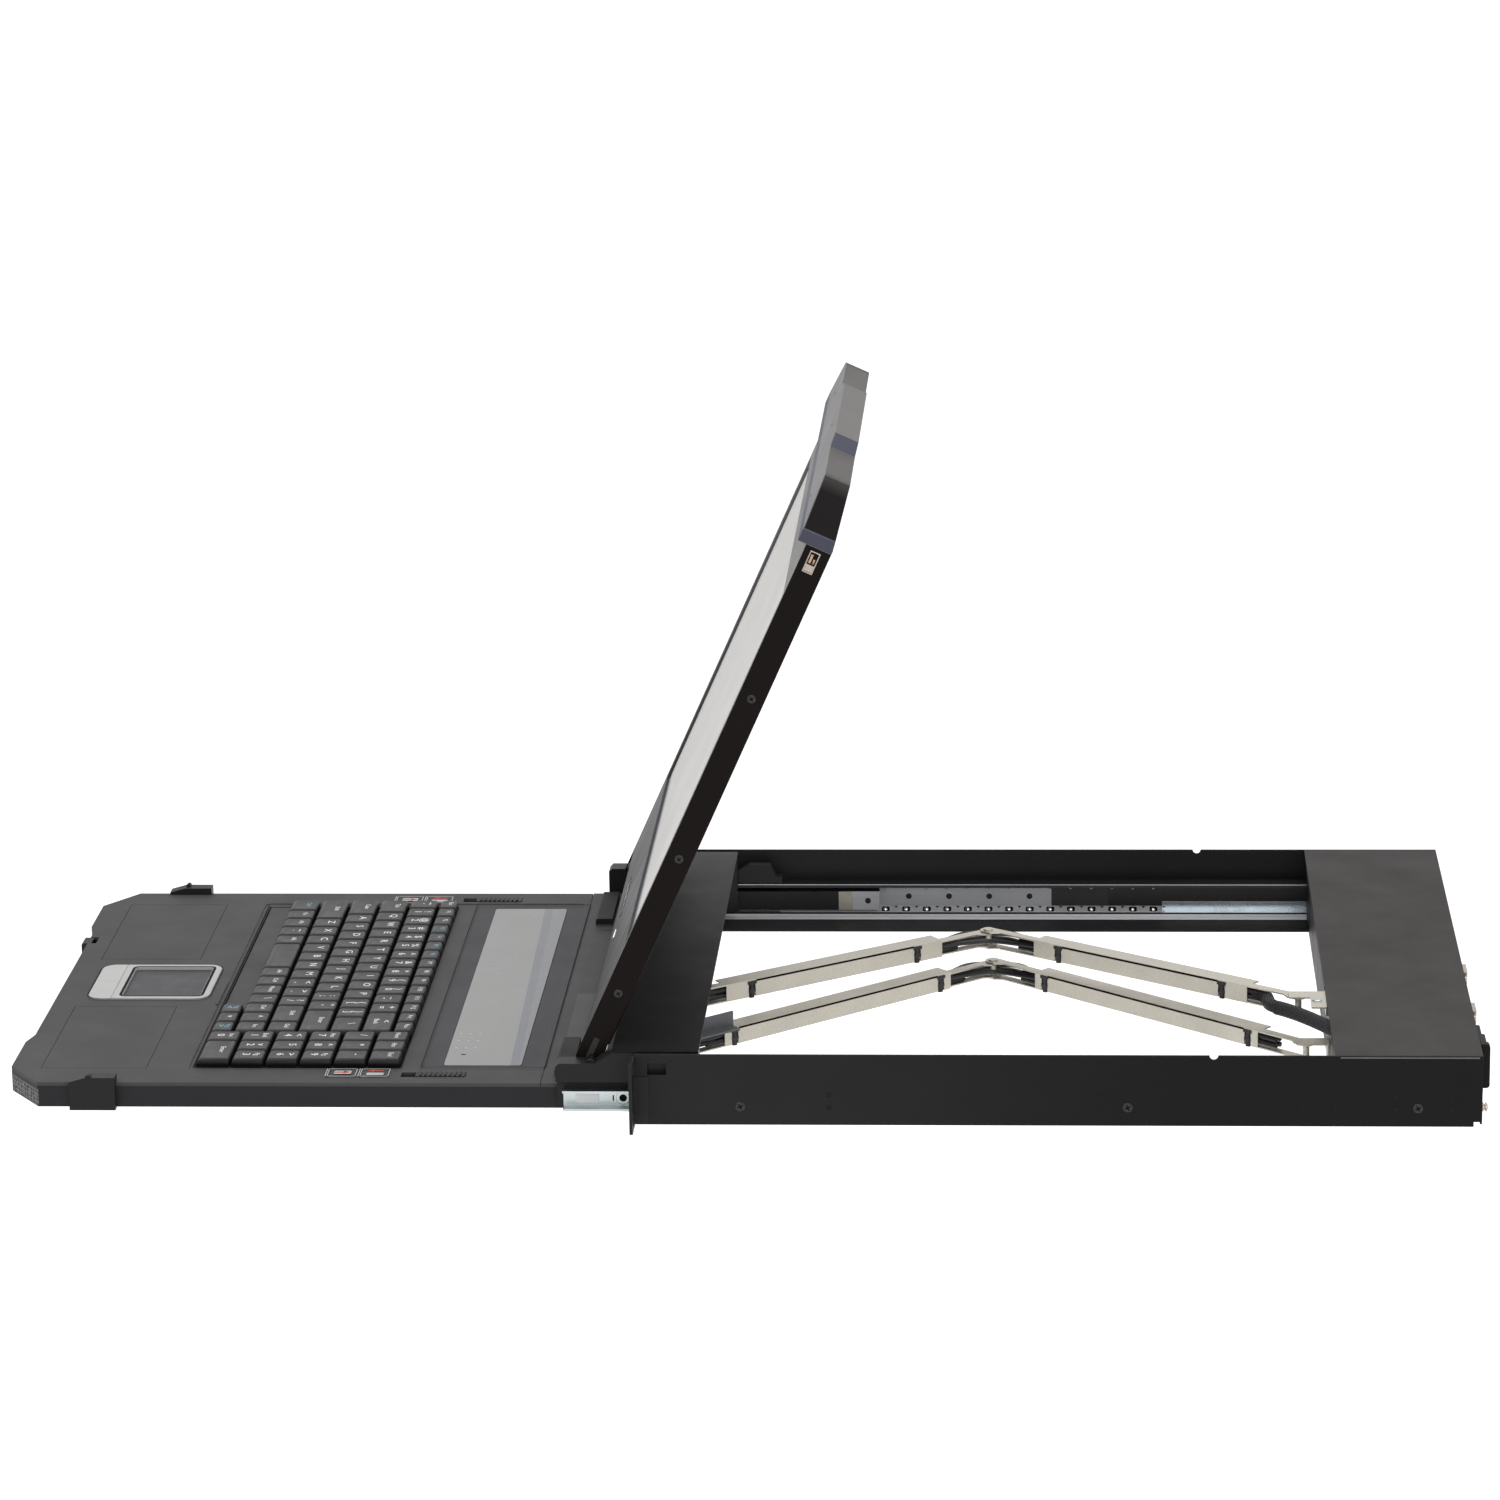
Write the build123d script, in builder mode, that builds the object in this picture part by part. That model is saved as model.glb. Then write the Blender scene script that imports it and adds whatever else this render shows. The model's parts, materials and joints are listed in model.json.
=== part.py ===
from build123d import *
import math
import os

os.makedirs("parts", exist_ok=True)

# A one-unit rack console drawer, pulled out and opened. Sizes are millimetres and degrees.
# +Z is up, the user stands at -Y, and the user's right hand is at +X.
# The origin is the centre of the four slots in the rack ears, on the ears' rear face.

# Rack interface
rack_ear_span = 482.6
rack_slot_edge = 8.75
rack_slot_pitch_z = 31.75
rack_slot_width = 7.0
rack_slot_length = 10.5
ear_reach = 21.3
ear_thickness = 2.0
ear_corner = 1.5
ear_end_gap = 0.2
ear_flange_length = 8.0
ear_flange_thickness = 0.8
ear_flange_inset = 1.0

# Chassis
case_height = 44.0
case_depth = 504.0
case_wall = 1.2
floor_flange_width = 45.0
rear_box_depth = 86.0
rear_box_inset = 16.0
seat_gap = 0.3
overcut = 1.0

# Telescopic slides
slide_height = 22.0
slide_sheet = 1.4
slide_depth = 12.6
slide_front_inset = 4.0
slide_rear_inset = 12.0
ball_diameter = 3.2
ball_play = 0.05
ball_pitch = 13.8
ball_count = 14
inner_slide_front = -44.0
inner_slide_length = 177.0
inner_slide_width = 8.8
inner_slide_gap = 0.6
ball_offset = 1.0
cage_front = 66.0
cage_length = 256.0
cage_sheet = 0.6
cage_wall_gap = 0.5
cage_flange_inset = 1.6
cage_end_margin = 6.0
cage_hole_count = 5
cage_hole_pitch = 27.0
cage_hole_radius = 2.0
cage_hole_z = -9.5

# Keyboard tray
tray_side_gap = 20.0
tray_front = -381.5
tray_rear = -18.0
tray_bottom = -18.5
tray_height = 15.5
tray_wall = 1.2
deck_thickness = 2.2
corner_run_x = 30.0
corner_run_y = 21.0
corner_lip = 3.5
corner_lip_width = 48.0
corner_lip_slope = 14.0
hinge_deck_depth = 40.5
seam_gap = 0.4
well_depth = 0.6

# Keyboard
main_column_count = 15
pad_column_count = 3
keyboard_side_gap = 30.8
keyboard_front_gap = 109.5
keyboard_rear_gap = 25.6
function_row_depth = 12.2
arrow_row_depth = 14.2
key_gap = 0.8
key_height = 5.4
key_top_taper_x = 2.3
key_top_taper_y = 1.9
key_edge = 0.5
key_base_z = -3.6
key_travel = 2.5
stem_width = 3.0
keyboard_margin = 0.6
keyboard_plate_thickness = 1.2

# Touchpad
touchpad_width = 72.0
touchpad_depth = 78.0
touchpad_front_gap = 58.5
touchpad_corner = 9.0
touchpad_window_width = 60.0
touchpad_window_depth = 50.0
touchpad_rim = 6.0
touchpad_proud = 1.0
touchpad_button_travel = 0.6

# Palm rests and the panel behind the keyboard
palm_inner_x = 50.0
palm_side_gap = 27.0
palm_depth = 65.0
palm_front_gap = 47.5
palm_line = 0.5
control_side_gap = 35.0
control_depth = 48.0
control_rear_gap = 14.5
control_thickness = 1.6

# Latches
latch_inset = 16.0
latch_width = 8.0
latch_length = 30.0
latch_rear_gap = 62.0
latch_travel = 8.0
latch_rib_count = 9
side_catch_length = 28.0
side_catch_front_gap = 51.5
side_catch_reach = 5.2
front_latch_inset = 108.0
front_latch_width = 13.0
front_latch_travel = 3.0

# Lid, given along its own plane from the hinge axis
lid_open_angle = 114.4
hinge_rear_gap = 9.0
hinge_z = 13.0
lid_start = 12.0
lid_side_length = 351.0
lid_back = -6.4
lid_face = 9.6
lid_lip_height = 5.6
lid_end_overlap = 8.0
lid_wall = 1.5
lid_cheek_drop = 5.5
lid_corner_x = 30.0
lid_corner_y = 28.0
lid_handle_half = 75.0
lid_handle_reach = 6.0
lid_handle_slope = 14.0
lid_bevel = 6.0
bezel_thickness = 1.6
screen_side_border = 10.0
screen_start = 70.0
screen_end_border = 35.0
lcd_thickness = 6.5
lcd_border = 2.5

# Hinge
barrel_radius = 7.5
barrel_length = 31.0
barrel_inset = 32.5
hinge_pin_radius = 3.0
hinge_play = 0.05
hinge_arm_length = 44.0
hinge_arm_thickness = 2.0

# Carriage behind the tray
carriage_wall_gap = 4.8
carriage_tray_gap = 0.4
carriage_front = -48.0
carriage_shelf_z = 14.0
cover_front = -14.0
cover_rear = 38.0
cover_thickness = 1.2
cover_ramp = 10.0

# Cable arms
link_width = 13.0
link_height = 11.0
link_sheet = 0.8
tongue_width = 10.0
tongue_length = 37.0
tongue_lap = 3.0
rivet_radius = 2.0
rivet_play = 0.05
rivet_head = 0.8
rivet_head_border = 1.2
leads_width = 7.3
leads_corner = 1.8
leads_gap = 0.05
tie_width = 3.0
upper_arm_x = 95.0
upper_arm_reach = 139.0
upper_arm_front = 16.0
upper_arm_rear_gap = 18.0
upper_arm_z = 8.5
upper_tie_inset = 19.0
lower_arm_x = 120.0
lower_arm_reach = 169.0
lower_arm_front = 18.0
lower_arm_rear_gap = 14.0
lower_arm_z = -13.5
lower_tie_inset = 8.0
arm_stack = 41.0

# Values that follow from the ones above
top_z = case_height / 2
bottom_z = -top_z
case_width = rack_ear_span - 2 * ear_reach
rack_slot_pitch_x = rack_ear_span - 2 * rack_slot_edge
half_case = case_width / 2
wall_inner_x = half_case - case_wall
rear_box_front = case_depth - rear_box_depth
rear_box_half = wall_inner_x - rear_box_inset
upper_arm_rear = rear_box_front - upper_arm_rear_gap
lower_arm_rear = rear_box_front - lower_arm_rear_gap
drawer_travel = upper_arm_rear - upper_arm_front - arm_stack
plate_z = top_z - case_wall
slide_bottom = bottom_z + case_wall + seat_gap
slide_top = slide_bottom + slide_height
slide_inner_x = wall_inner_x - slide_depth
ball_gap = ball_diameter + 2 * ball_play
inner_bottom = slide_bottom + slide_sheet + ball_gap
inner_top = slide_top - slide_sheet - ball_gap
inner_slide_x = slide_inner_x - inner_slide_gap
ball_x = inner_slide_x + inner_slide_width / 2 + ball_offset
carriage_outer_x = wall_inner_x - carriage_wall_gap
tray_width = case_width - 2 * tray_side_gap
tray_half = tray_width / 2
tray_top = tray_bottom + tray_height
deck_bottom = tray_top - deck_thickness
seam_y = tray_rear - hinge_deck_depth
control_y = seam_y - control_rear_gap - control_depth / 2
control_width = tray_width - 2 * control_side_gap
keyboard_width = tray_width - 2 * keyboard_side_gap
keyboard_front = tray_front + keyboard_front_gap
keyboard_rear = control_y - control_depth / 2 - keyboard_rear_gap
keyboard_depth = keyboard_rear - keyboard_front
key_pitch_x = keyboard_width / (main_column_count + pad_column_count)
key_pitch_y = (keyboard_depth - function_row_depth - arrow_row_depth) / 5
key_top_z = key_base_z + key_height
touchpad_y = tray_front + touchpad_front_gap
palm_y = tray_front + palm_front_gap
palm_width = tray_half - palm_side_gap - palm_inner_x
latch_x = tray_half - latch_inset
latch_y = seam_y - latch_rear_gap
side_catch_y = tray_front + side_catch_front_gap
front_latch_x = front_latch_inset - tray_half
hinge_y = tray_rear - hinge_rear_gap
barrel_x = tray_half - barrel_inset
lid_tilt = math.radians(180 - lid_open_angle)
lid_half = tray_half
lid_length = lid_side_length + lid_corner_y
lid_shell_length = lid_side_length - lid_end_overlap
screen_width = 2 * (lid_half - screen_side_border)
screen_height = lid_shell_length - screen_start - screen_end_border


def slab(x0, x1, y0, y1, z0, z1, mode=Mode.ADD):
    """Add or cut a block between two opposite corners."""
    with Locations(((x0 + x1) / 2, (y0 + y1) / 2, (z0 + z1) / 2)):
        Box(abs(x1 - x0), abs(y1 - y0), abs(z1 - z0), mode=mode)


def save(part, name):
    """Name a finished piece and write it."""
    part.label = name
    export_step(part, f"parts/{name}.step")


def save_pair(right_part, name):
    """Write a right-hand piece and its mirror image on the left."""
    left_part = mirror(right_part, about=Plane.YZ)
    save(right_part, name + "_right")
    save(left_part, name + "_left")


# Chassis sides: a folded sheet with a wall and a floor flange, pierced by the catch window
window_front = 7.5
window_length = 11.5
window_bottom = 9.0
window_height = 7.7
edge_notch_rear_gap = 159.0
edge_notch_radius = 2.6
corner_notch_length = 5.0
corner_notch_height = 3.0

with BuildPart() as chassis_side:
    with BuildSketch(Plane.XZ) as side_fold:
        with BuildLine():
            Polyline(
                (half_case, top_z),
                (half_case, bottom_z),
                (half_case - floor_flange_width, bottom_z),
                (half_case - floor_flange_width, bottom_z + case_wall),
                (wall_inner_x, bottom_z + case_wall),
                (wall_inner_x, top_z),
                close=True,
            )
        make_face()
    extrude(amount=-case_depth)
    slab(wall_inner_x - overcut, half_case + overcut, window_front, window_front + window_length,
         window_bottom, window_bottom + window_height, mode=Mode.SUBTRACT)
    slab(half_case - floor_flange_width - overcut, half_case + overcut, case_depth - corner_notch_length,
         case_depth + overcut, bottom_z - overcut, bottom_z + corner_notch_height, mode=Mode.SUBTRACT)
    with BuildSketch(Plane.YZ.offset(wall_inner_x - overcut)) as notch_profile:
        with Locations((case_depth - edge_notch_rear_gap, top_z)):
            Circle(edge_notch_radius)
    extrude(amount=case_wall + 2 * overcut, mode=Mode.SUBTRACT)
save_pair(chassis_side.part, "chassis_side")

# Rack ears: an angle with two obround slots in its blade
with BuildPart() as rack_ear:
    with BuildSketch(Plane.XZ) as ear_blade:
        with Locations(((half_case + rack_ear_span / 2) / 2, 0)):
            RectangleRounded(ear_reach, case_height - 2 * ear_end_gap, ear_corner)
        with Locations((rack_slot_pitch_x / 2, rack_slot_pitch_z / 2),
                       (rack_slot_pitch_x / 2, -rack_slot_pitch_z / 2)):
            SlotOverall(rack_slot_length, rack_slot_width, mode=Mode.SUBTRACT)
    extrude(amount=ear_thickness)
    slab(half_case, half_case + ear_flange_thickness, -ear_thickness, ear_flange_length,
         bottom_z + ear_flange_inset, window_bottom - ear_flange_inset)
save_pair(rack_ear.part, "rack_ear")

# Rear box: a pan between the slides that holds the electronics, and its lid
inlet_inset = 30.8
inlet_width = 27.0
inlet_height = 20.0
port_positions = (-12.0, 68.0)
port_width = 31.0
port_height = 12.6
entry_left = 129.0
entry_right = 157.0
entry_bottom = 8.6
entry_top = 19.2

inlet_x = rear_box_half - inlet_inset

with BuildPart() as rear_case:
    slab(-rear_box_half, rear_box_half, rear_box_front, case_depth, bottom_z + case_wall, plate_z - seat_gap)
    slab(-rear_box_half + case_wall, rear_box_half - case_wall, rear_box_front + case_wall,
         case_depth - case_wall, bottom_z + 2 * case_wall, plate_z, mode=Mode.SUBTRACT)
    slab(-wall_inner_x, wall_inner_x, case_depth - case_wall, case_depth, bottom_z + case_wall, plate_z)
    slab(inlet_x - inlet_width / 2, inlet_x + inlet_width / 2, case_depth - 2 * case_wall,
         case_depth + overcut, -inlet_height / 2, inlet_height / 2, mode=Mode.SUBTRACT)
    for port_x in port_positions:
        slab(port_x - port_width / 2, port_x + port_width / 2, case_depth - 2 * case_wall,
             case_depth + overcut, -port_height / 2, port_height / 2, mode=Mode.SUBTRACT)
    slab(entry_left, entry_right, rear_box_front - overcut, rear_box_front + 2 * case_wall,
         entry_bottom, entry_top, mode=Mode.SUBTRACT)
save(rear_case.part, "rear_case")

cover_lip_gap = 0.2
cover_lip_inset = 20.0
cover_lip_height = 4.0

with BuildPart() as rear_cover:
    slab(-wall_inner_x + seat_gap, wall_inner_x - seat_gap, rear_box_front - cover_lip_gap - case_wall,
         case_depth, plate_z, top_z)
    slab(-rear_box_half + cover_lip_inset, upper_arm_x - cover_lip_inset,
         rear_box_front - cover_lip_gap - case_wall, rear_box_front - cover_lip_gap,
         plate_z - cover_lip_height, top_z)
save(rear_cover.part, "rear_cover")

# Electronics in the rear box
board_thickness = 1.6
standoff_height = 5.0
standoff_radius = 3.0
standoff_inset = 6.0
board_left_gap = 72.8
board_supply_gap = 18.0
board_front_gap = 10.0
board_rear_gap = 8.0
chip_places = ((-70.0, 24.0, 26.0), (-20.0, 22.0, 18.0), (30.0, 27.0, 22.0))
chip_height = 2.0
supply_side_gap = 4.8
supply_width = 70.0
supply_front_gap = 12.0
supply_rear_gap = 34.0
supply_top = 17.0
supply_corner = 2.0

box_floor = bottom_z + 2 * case_wall
supply_right = rear_box_half - supply_side_gap
supply_left = supply_right - supply_width
supply_front = rear_box_front + supply_front_gap
board_left = board_left_gap - rear_box_half
board_right = supply_left - board_supply_gap
board_front = rear_box_front + board_front_gap
board_rear = case_depth - board_rear_gap
board_top = box_floor + standoff_height + board_thickness

with BuildPart() as console_board:
    slab(board_left, board_right, board_front, board_rear, box_floor + standoff_height, board_top)
    for chip_x, chip_back, chip_size in chip_places:
        chip_y = board_front + chip_back
        slab(chip_x - chip_size / 2, chip_x + chip_size / 2, chip_y - chip_size / 2, chip_y + chip_size / 2,
             board_top, board_top + chip_height)
    with Locations(*[(x, y, box_floor + standoff_height / 2)
                     for x in (board_left + standoff_inset, board_right - standoff_inset)
                     for y in (board_front + standoff_inset, board_rear - standoff_inset)]):
        Cylinder(standoff_radius, standoff_height)
save(console_board.part, "console_board")

with BuildPart() as power_supply:
    slab(supply_left, supply_right, supply_front, case_depth - supply_rear_gap, box_floor, supply_top)
    fillet(power_supply.edges().filter_by(Axis.Z), supply_corner)
save(power_supply.part, "power_supply")

# Rear sockets: the mains inlet and two video and console ports
inlet_border_x = 4.0
inlet_border_z = 3.0
inlet_corner = 4.0
inlet_flange = 2.5
inlet_body = 22.0
inlet_rim_x = 2.0
inlet_rim_z = 2.5
inlet_mouth_depth = 18.0
inlet_pins = ((-6.0, -2.0), (0.0, 3.0), (6.0, -2.0))
inlet_pin_width = 2.0
inlet_pin_length = 12.0
inlet_pin_height = 4.5
inlet_pin_depth = 10.0

with BuildPart() as power_inlet:
    with BuildSketch(Plane.XZ.offset(-case_depth)) as inlet_plate:
        with Locations((inlet_x, 0)):
            RectangleRounded(inlet_width + 2 * inlet_border_x, inlet_height + 2 * inlet_border_z, inlet_corner)
    extrude(amount=-inlet_flange)
    slab(inlet_x - inlet_width / 2 + seat_gap, inlet_x + inlet_width / 2 - seat_gap, case_depth - inlet_body,
         case_depth, -inlet_height / 2 + seat_gap, inlet_height / 2 - seat_gap)
    with BuildSketch(Plane.XZ.offset(-case_depth - inlet_flange)) as inlet_mouth:
        with Locations((inlet_x, 0)):
            RectangleRounded(inlet_width - 2 * inlet_rim_x, inlet_height - 2 * inlet_rim_z, inlet_corner)
    extrude(amount=inlet_mouth_depth, mode=Mode.SUBTRACT)
    with Locations(*[(inlet_x + dx, case_depth - inlet_pin_depth, dz) for dx, dz in inlet_pins]):
        Box(inlet_pin_width, inlet_pin_length, inlet_pin_height)
save(power_inlet.part, "power_inlet")

port_body = 10.0
port_flange = 1.0
shell_width = 17.0
shell_height = 8.4
shell_sheet = 0.7
shell_slope = 80.0
shell_reach = 5.5
post_offset = 12.5
post_radius = 2.6
post_length = 5.0

with BuildPart() as video_ports:
    for port_x in port_positions:
        slab(port_x - port_width / 2 + seat_gap, port_x + port_width / 2 - seat_gap, case_depth - port_body,
             case_depth + port_flange, -port_height / 2 + seat_gap, port_height / 2 - seat_gap)
        with BuildSketch(Plane.XZ.offset(-case_depth - port_flange)) as port_shell:
            with Locations((port_x, 0)):
                Trapezoid(shell_width, shell_height, shell_slope, rotation=180)
                Trapezoid(shell_width - 2 * shell_sheet, shell_height - 2 * shell_sheet, shell_slope,
                          rotation=180, mode=Mode.SUBTRACT)
        extrude(amount=-shell_reach)
        with BuildSketch(Plane.XZ.offset(-case_depth - port_flange)) as port_posts:
            with Locations((port_x - post_offset, 0), (port_x + post_offset, 0)):
                Circle(post_radius)
        extrude(amount=-post_length)
save(video_ports.part, "video_ports")

# Screws that hold the slides to the walls, with low heads on the outside, and the earth screw at the rear
screw_head_radius = 3.0
screw_head_height = 0.7
screw_rows = (63.0, case_depth - 210.0, case_depth - 38.0)
screw_line_z = -10.5
ground_inset = 10.8
ground_z = -11.0
ground_radius = 3.6
ground_height = 3.0
ground_chamfer = 0.6

with BuildPart() as chassis_screws:
    for side in (-1, 1):
        for screw_y in screw_rows:
            with BuildSketch(Plane.YZ.offset(side * half_case)) as screw_head:
                with Locations((screw_y, screw_line_z)):
                    Circle(screw_head_radius)
            extrude(amount=side * screw_head_height)
    with BuildSketch(Plane.XZ.offset(-case_depth)) as ground_head:
        with Locations((wall_inner_x - ground_inset, ground_z)):
            Circle(ground_radius)
    extrude(amount=-ground_height)
    chamfer(chassis_screws.edges().filter_by(GeomType.CIRCLE).sort_by(Axis.Y)[-1], ground_chamfer)
save(chassis_screws.part, "chassis_screws")

# Outer slide members: a rolled channel with lipped edges, screwed to the wall
curl = 1.0
lip_sheet = 0.8

with BuildPart() as slide_outer:
    with BuildSketch(Plane.XZ.offset(-slide_front_inset)) as outer_profile:
        with BuildLine():
            Polyline(
                (wall_inner_x, slide_bottom),
                (wall_inner_x, slide_top),
                (slide_inner_x, slide_top),
                (slide_inner_x, slide_top - slide_sheet - curl),
                (slide_inner_x + lip_sheet, slide_top - slide_sheet - curl),
                (slide_inner_x + lip_sheet, slide_top - slide_sheet),
                (wall_inner_x - slide_sheet, slide_top - slide_sheet),
                (wall_inner_x - slide_sheet, slide_bottom + slide_sheet),
                (slide_inner_x + lip_sheet, slide_bottom + slide_sheet),
                (slide_inner_x + lip_sheet, slide_bottom + slide_sheet + curl),
                (slide_inner_x, slide_bottom + slide_sheet + curl),
                (slide_inner_x, slide_bottom),
                close=True,
            )
        make_face()
    extrude(amount=-(case_depth - slide_front_inset - slide_rear_inset))
save_pair(slide_outer.part, "slide_outer")

# Inner slide members: a shorter channel that carries the drawer, open towards the wall
hole_near_front = 36.0
hole_near_rear = 20.0
slide_hole_radius = 2.2
slide_middle_z = (inner_bottom + inner_top) / 2

with BuildPart() as slide_inner:
    with BuildSketch(Plane.XZ.offset(-inner_slide_front)) as inner_profile:
        with BuildLine():
            Polyline(
                (inner_slide_x, inner_bottom),
                (inner_slide_x, inner_top),
                (inner_slide_x + inner_slide_width, inner_top),
                (inner_slide_x + inner_slide_width, inner_top - slide_sheet),
                (inner_slide_x + slide_sheet, inner_top - slide_sheet),
                (inner_slide_x + slide_sheet, inner_bottom + slide_sheet),
                (inner_slide_x + inner_slide_width, inner_bottom + slide_sheet),
                (inner_slide_x + inner_slide_width, inner_bottom),
                close=True,
            )
        make_face()
    extrude(amount=-inner_slide_length)
    with BuildSketch(Plane.YZ.offset(inner_slide_x - overcut)) as inner_holes:
        with Locations((inner_slide_front + hole_near_front, slide_middle_z),
                       (inner_slide_front + inner_slide_length - hole_near_rear, slide_middle_z)):
            Circle(slide_hole_radius)
    extrude(amount=slide_sheet + 2 * overcut, mode=Mode.SUBTRACT)
save_pair(slide_inner.part, "slide_inner")

# Ball cages: a thin channel that spaces the bearing balls, which have flat facets and are held in its flanges
ball_facet = 0.94
cage_web_x = wall_inner_x - slide_sheet - cage_wall_gap - cage_sheet
cage_flange_x = slide_inner_x + cage_flange_inset
ball_rows = (slide_top - slide_sheet - ball_gap / 2, slide_bottom + slide_sheet + ball_gap / 2)
first_ball_y = cage_front + cage_length - cage_end_margin - (ball_count - 1) * ball_pitch

with BuildPart(mode=Mode.PRIVATE) as facet_ball:
    Box(ball_diameter, ball_diameter, ball_diameter)
    chamfer(facet_ball.edges(), ball_facet)

with BuildPart() as cage_right:
    with BuildSketch(Plane.XZ.offset(-cage_front)) as cage_profile:
        with BuildLine():
            Polyline(
                (cage_flange_x, ball_rows[0] - cage_sheet / 2),
                (cage_web_x, ball_rows[0] - cage_sheet / 2),
                (cage_web_x, ball_rows[1] + cage_sheet / 2),
                (cage_flange_x, ball_rows[1] + cage_sheet / 2),
                (cage_flange_x, ball_rows[1] - cage_sheet / 2),
                (cage_web_x + cage_sheet, ball_rows[1] - cage_sheet / 2),
                (cage_web_x + cage_sheet, ball_rows[0] + cage_sheet / 2),
                (cage_flange_x, ball_rows[0] + cage_sheet / 2),
                close=True,
            )
        make_face()
    extrude(amount=-cage_length)
    with BuildSketch(Plane.YZ.offset(cage_web_x - overcut)) as web_holes:
        with Locations(*[(first_ball_y + index * cage_hole_pitch, cage_hole_z)
                         for index in range(cage_hole_count)]):
            Circle(cage_hole_radius)
    extrude(amount=cage_sheet + 2 * overcut, mode=Mode.SUBTRACT)
    with Locations(*[(ball_x, first_ball_y + index * ball_pitch, row_z)
                     for row_z in ball_rows for index in range(ball_count)]):
        add(facet_ball.part)
save(Compound(children=[cage_right.part, mirror(cage_right.part, about=Plane.YZ)]), "ball_cages")

# Carriage sides: moulded brackets that join the tray to the inner slides and carry the lid hinge
shelf_gap = 1.0
carriage_nose = 2.0
hinge_hole_depth = 10.0

carriage_inner_x = tray_half + carriage_tray_gap
shelf_bottom = slide_top + shelf_gap

with BuildPart() as carriage_side:
    with BuildSketch(Plane.YZ.offset(carriage_inner_x)) as bracket_lower:
        with BuildLine():
            Polyline((carriage_front, inner_bottom), (carriage_front, shelf_bottom), (cover_rear, shelf_bottom),
                     (cover_rear, inner_bottom), close=True)
        make_face()
    extrude(amount=inner_slide_x - carriage_inner_x)
    with BuildSketch(Plane.YZ.offset(carriage_inner_x)) as bracket_upper:
        with BuildLine():
            Polyline(
                (carriage_front, shelf_bottom),
                (carriage_front, carriage_shelf_z - carriage_nose),
                (carriage_front + carriage_nose, carriage_shelf_z),
                (cover_front - cover_ramp, carriage_shelf_z),
                (cover_front, plate_z),
                (cover_rear, plate_z),
                (cover_rear, shelf_bottom),
                close=True,
            )
        make_face()
    extrude(amount=carriage_outer_x - carriage_inner_x)
    with BuildSketch(Plane.YZ.offset(carriage_inner_x - overcut)) as pin_seat:
        with Locations((hinge_y, hinge_z)):
            Circle(hinge_pin_radius)
    extrude(amount=hinge_hole_depth + overcut, mode=Mode.SUBTRACT)
save_pair(carriage_side.part, "carriage_side")

# Slide catches: moulded levers at the rear of the carriage, above the inner slides
catch_length = 30.0
catch_slide_gap = 0.6
catch_shoulder = 9.0
catch_height = 13.0
catch_slope = 8.0
catch_tip = 4.0
catch_tip_height = 5.0
catch_outer_gap = 1.0

catch_bottom = slide_top + catch_slide_gap

with BuildPart() as slide_catch:
    with BuildSketch(Plane.YZ.offset(inner_slide_x)) as catch_profile:
        with BuildLine():
            Polyline(
                (cover_rear, catch_bottom),
                (cover_rear, catch_bottom + catch_shoulder),
                (cover_rear + catch_slope, catch_bottom + catch_height),
                (cover_rear + catch_length - catch_slope, catch_bottom + catch_height),
                (cover_rear + catch_length - catch_tip, catch_bottom + catch_tip_height),
                (cover_rear + catch_length, catch_bottom + catch_tip_height),
                (cover_rear + catch_length, catch_bottom),
                close=True,
            )
        make_face()
    extrude(amount=carriage_outer_x - inner_slide_x - catch_outer_gap)
save(Compound(children=[slide_catch.part, mirror(slide_catch.part, about=Plane.YZ)]), "slide_catches")

# Carriage cover: a plate that slides just under the level of the chassis walls
cover_corner = 1.0
cover_hem = 1.0
cover_hem_inset = 4.0

with BuildPart() as carriage_cover:
    slab(-carriage_outer_x, carriage_outer_x, cover_front, cover_rear, plate_z, plate_z + cover_thickness)
    fillet(carriage_cover.edges().filter_by(Axis.Z), cover_corner)
    slab(-carriage_inner_x + cover_hem_inset, carriage_inner_x - cover_hem_inset, cover_front,
         cover_front + cover_thickness, plate_z - cover_hem, plate_z)
save(carriage_cover.part, "carriage_cover")

# Tray outline in plan, shared by the pan and the deck
front_lip_y = tray_front - corner_lip
lip_outer_x = tray_half - corner_run_x
lip_inner_x = lip_outer_x - corner_lip_width
side_front_y = front_lip_y + corner_run_y


def tray_outline(rear, inset=0.0):
    """The tray's plan between a rear edge and the front, pulled in by an inset."""
    half = tray_half - inset
    with BuildSketch(mode=Mode.PRIVATE) as outline:
        with BuildLine():
            Polyline(
                (0, rear - inset),
                (half, rear - inset),
                (half, side_front_y),
                (lip_outer_x - inset / 2, front_lip_y + inset),
                (lip_inner_x, front_lip_y + inset),
                (lip_inner_x - corner_lip_slope, tray_front + inset),
                (0, tray_front + inset),
            )
            mirror(about=Plane.YZ)
        make_face()
    return outline.sketch


front_latch_rise = 4.0
front_latch_bottom = tray_bottom + front_latch_rise
pan_outline = tray_outline(tray_rear)
pan_inside = tray_outline(tray_rear, tray_wall)

# Tray pan: folded steel with the front latch opening
with BuildPart() as tray_base:
    with BuildSketch(Plane.XY.offset(tray_bottom)):
        add(pan_outline)
    extrude(amount=deck_bottom - tray_bottom)
    with BuildSketch(Plane.XY.offset(tray_bottom + tray_wall)):
        add(pan_inside)
    extrude(amount=tray_height, mode=Mode.SUBTRACT)
    slab(front_latch_x - front_latch_width / 2 - seat_gap, front_latch_x + front_latch_width / 2 + seat_gap,
         tray_front - corner_lip - overcut, tray_front + 2 * tray_wall, front_latch_bottom - seat_gap, tray_top,
         mode=Mode.SUBTRACT)
save(tray_base.part, "tray_base")

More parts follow.
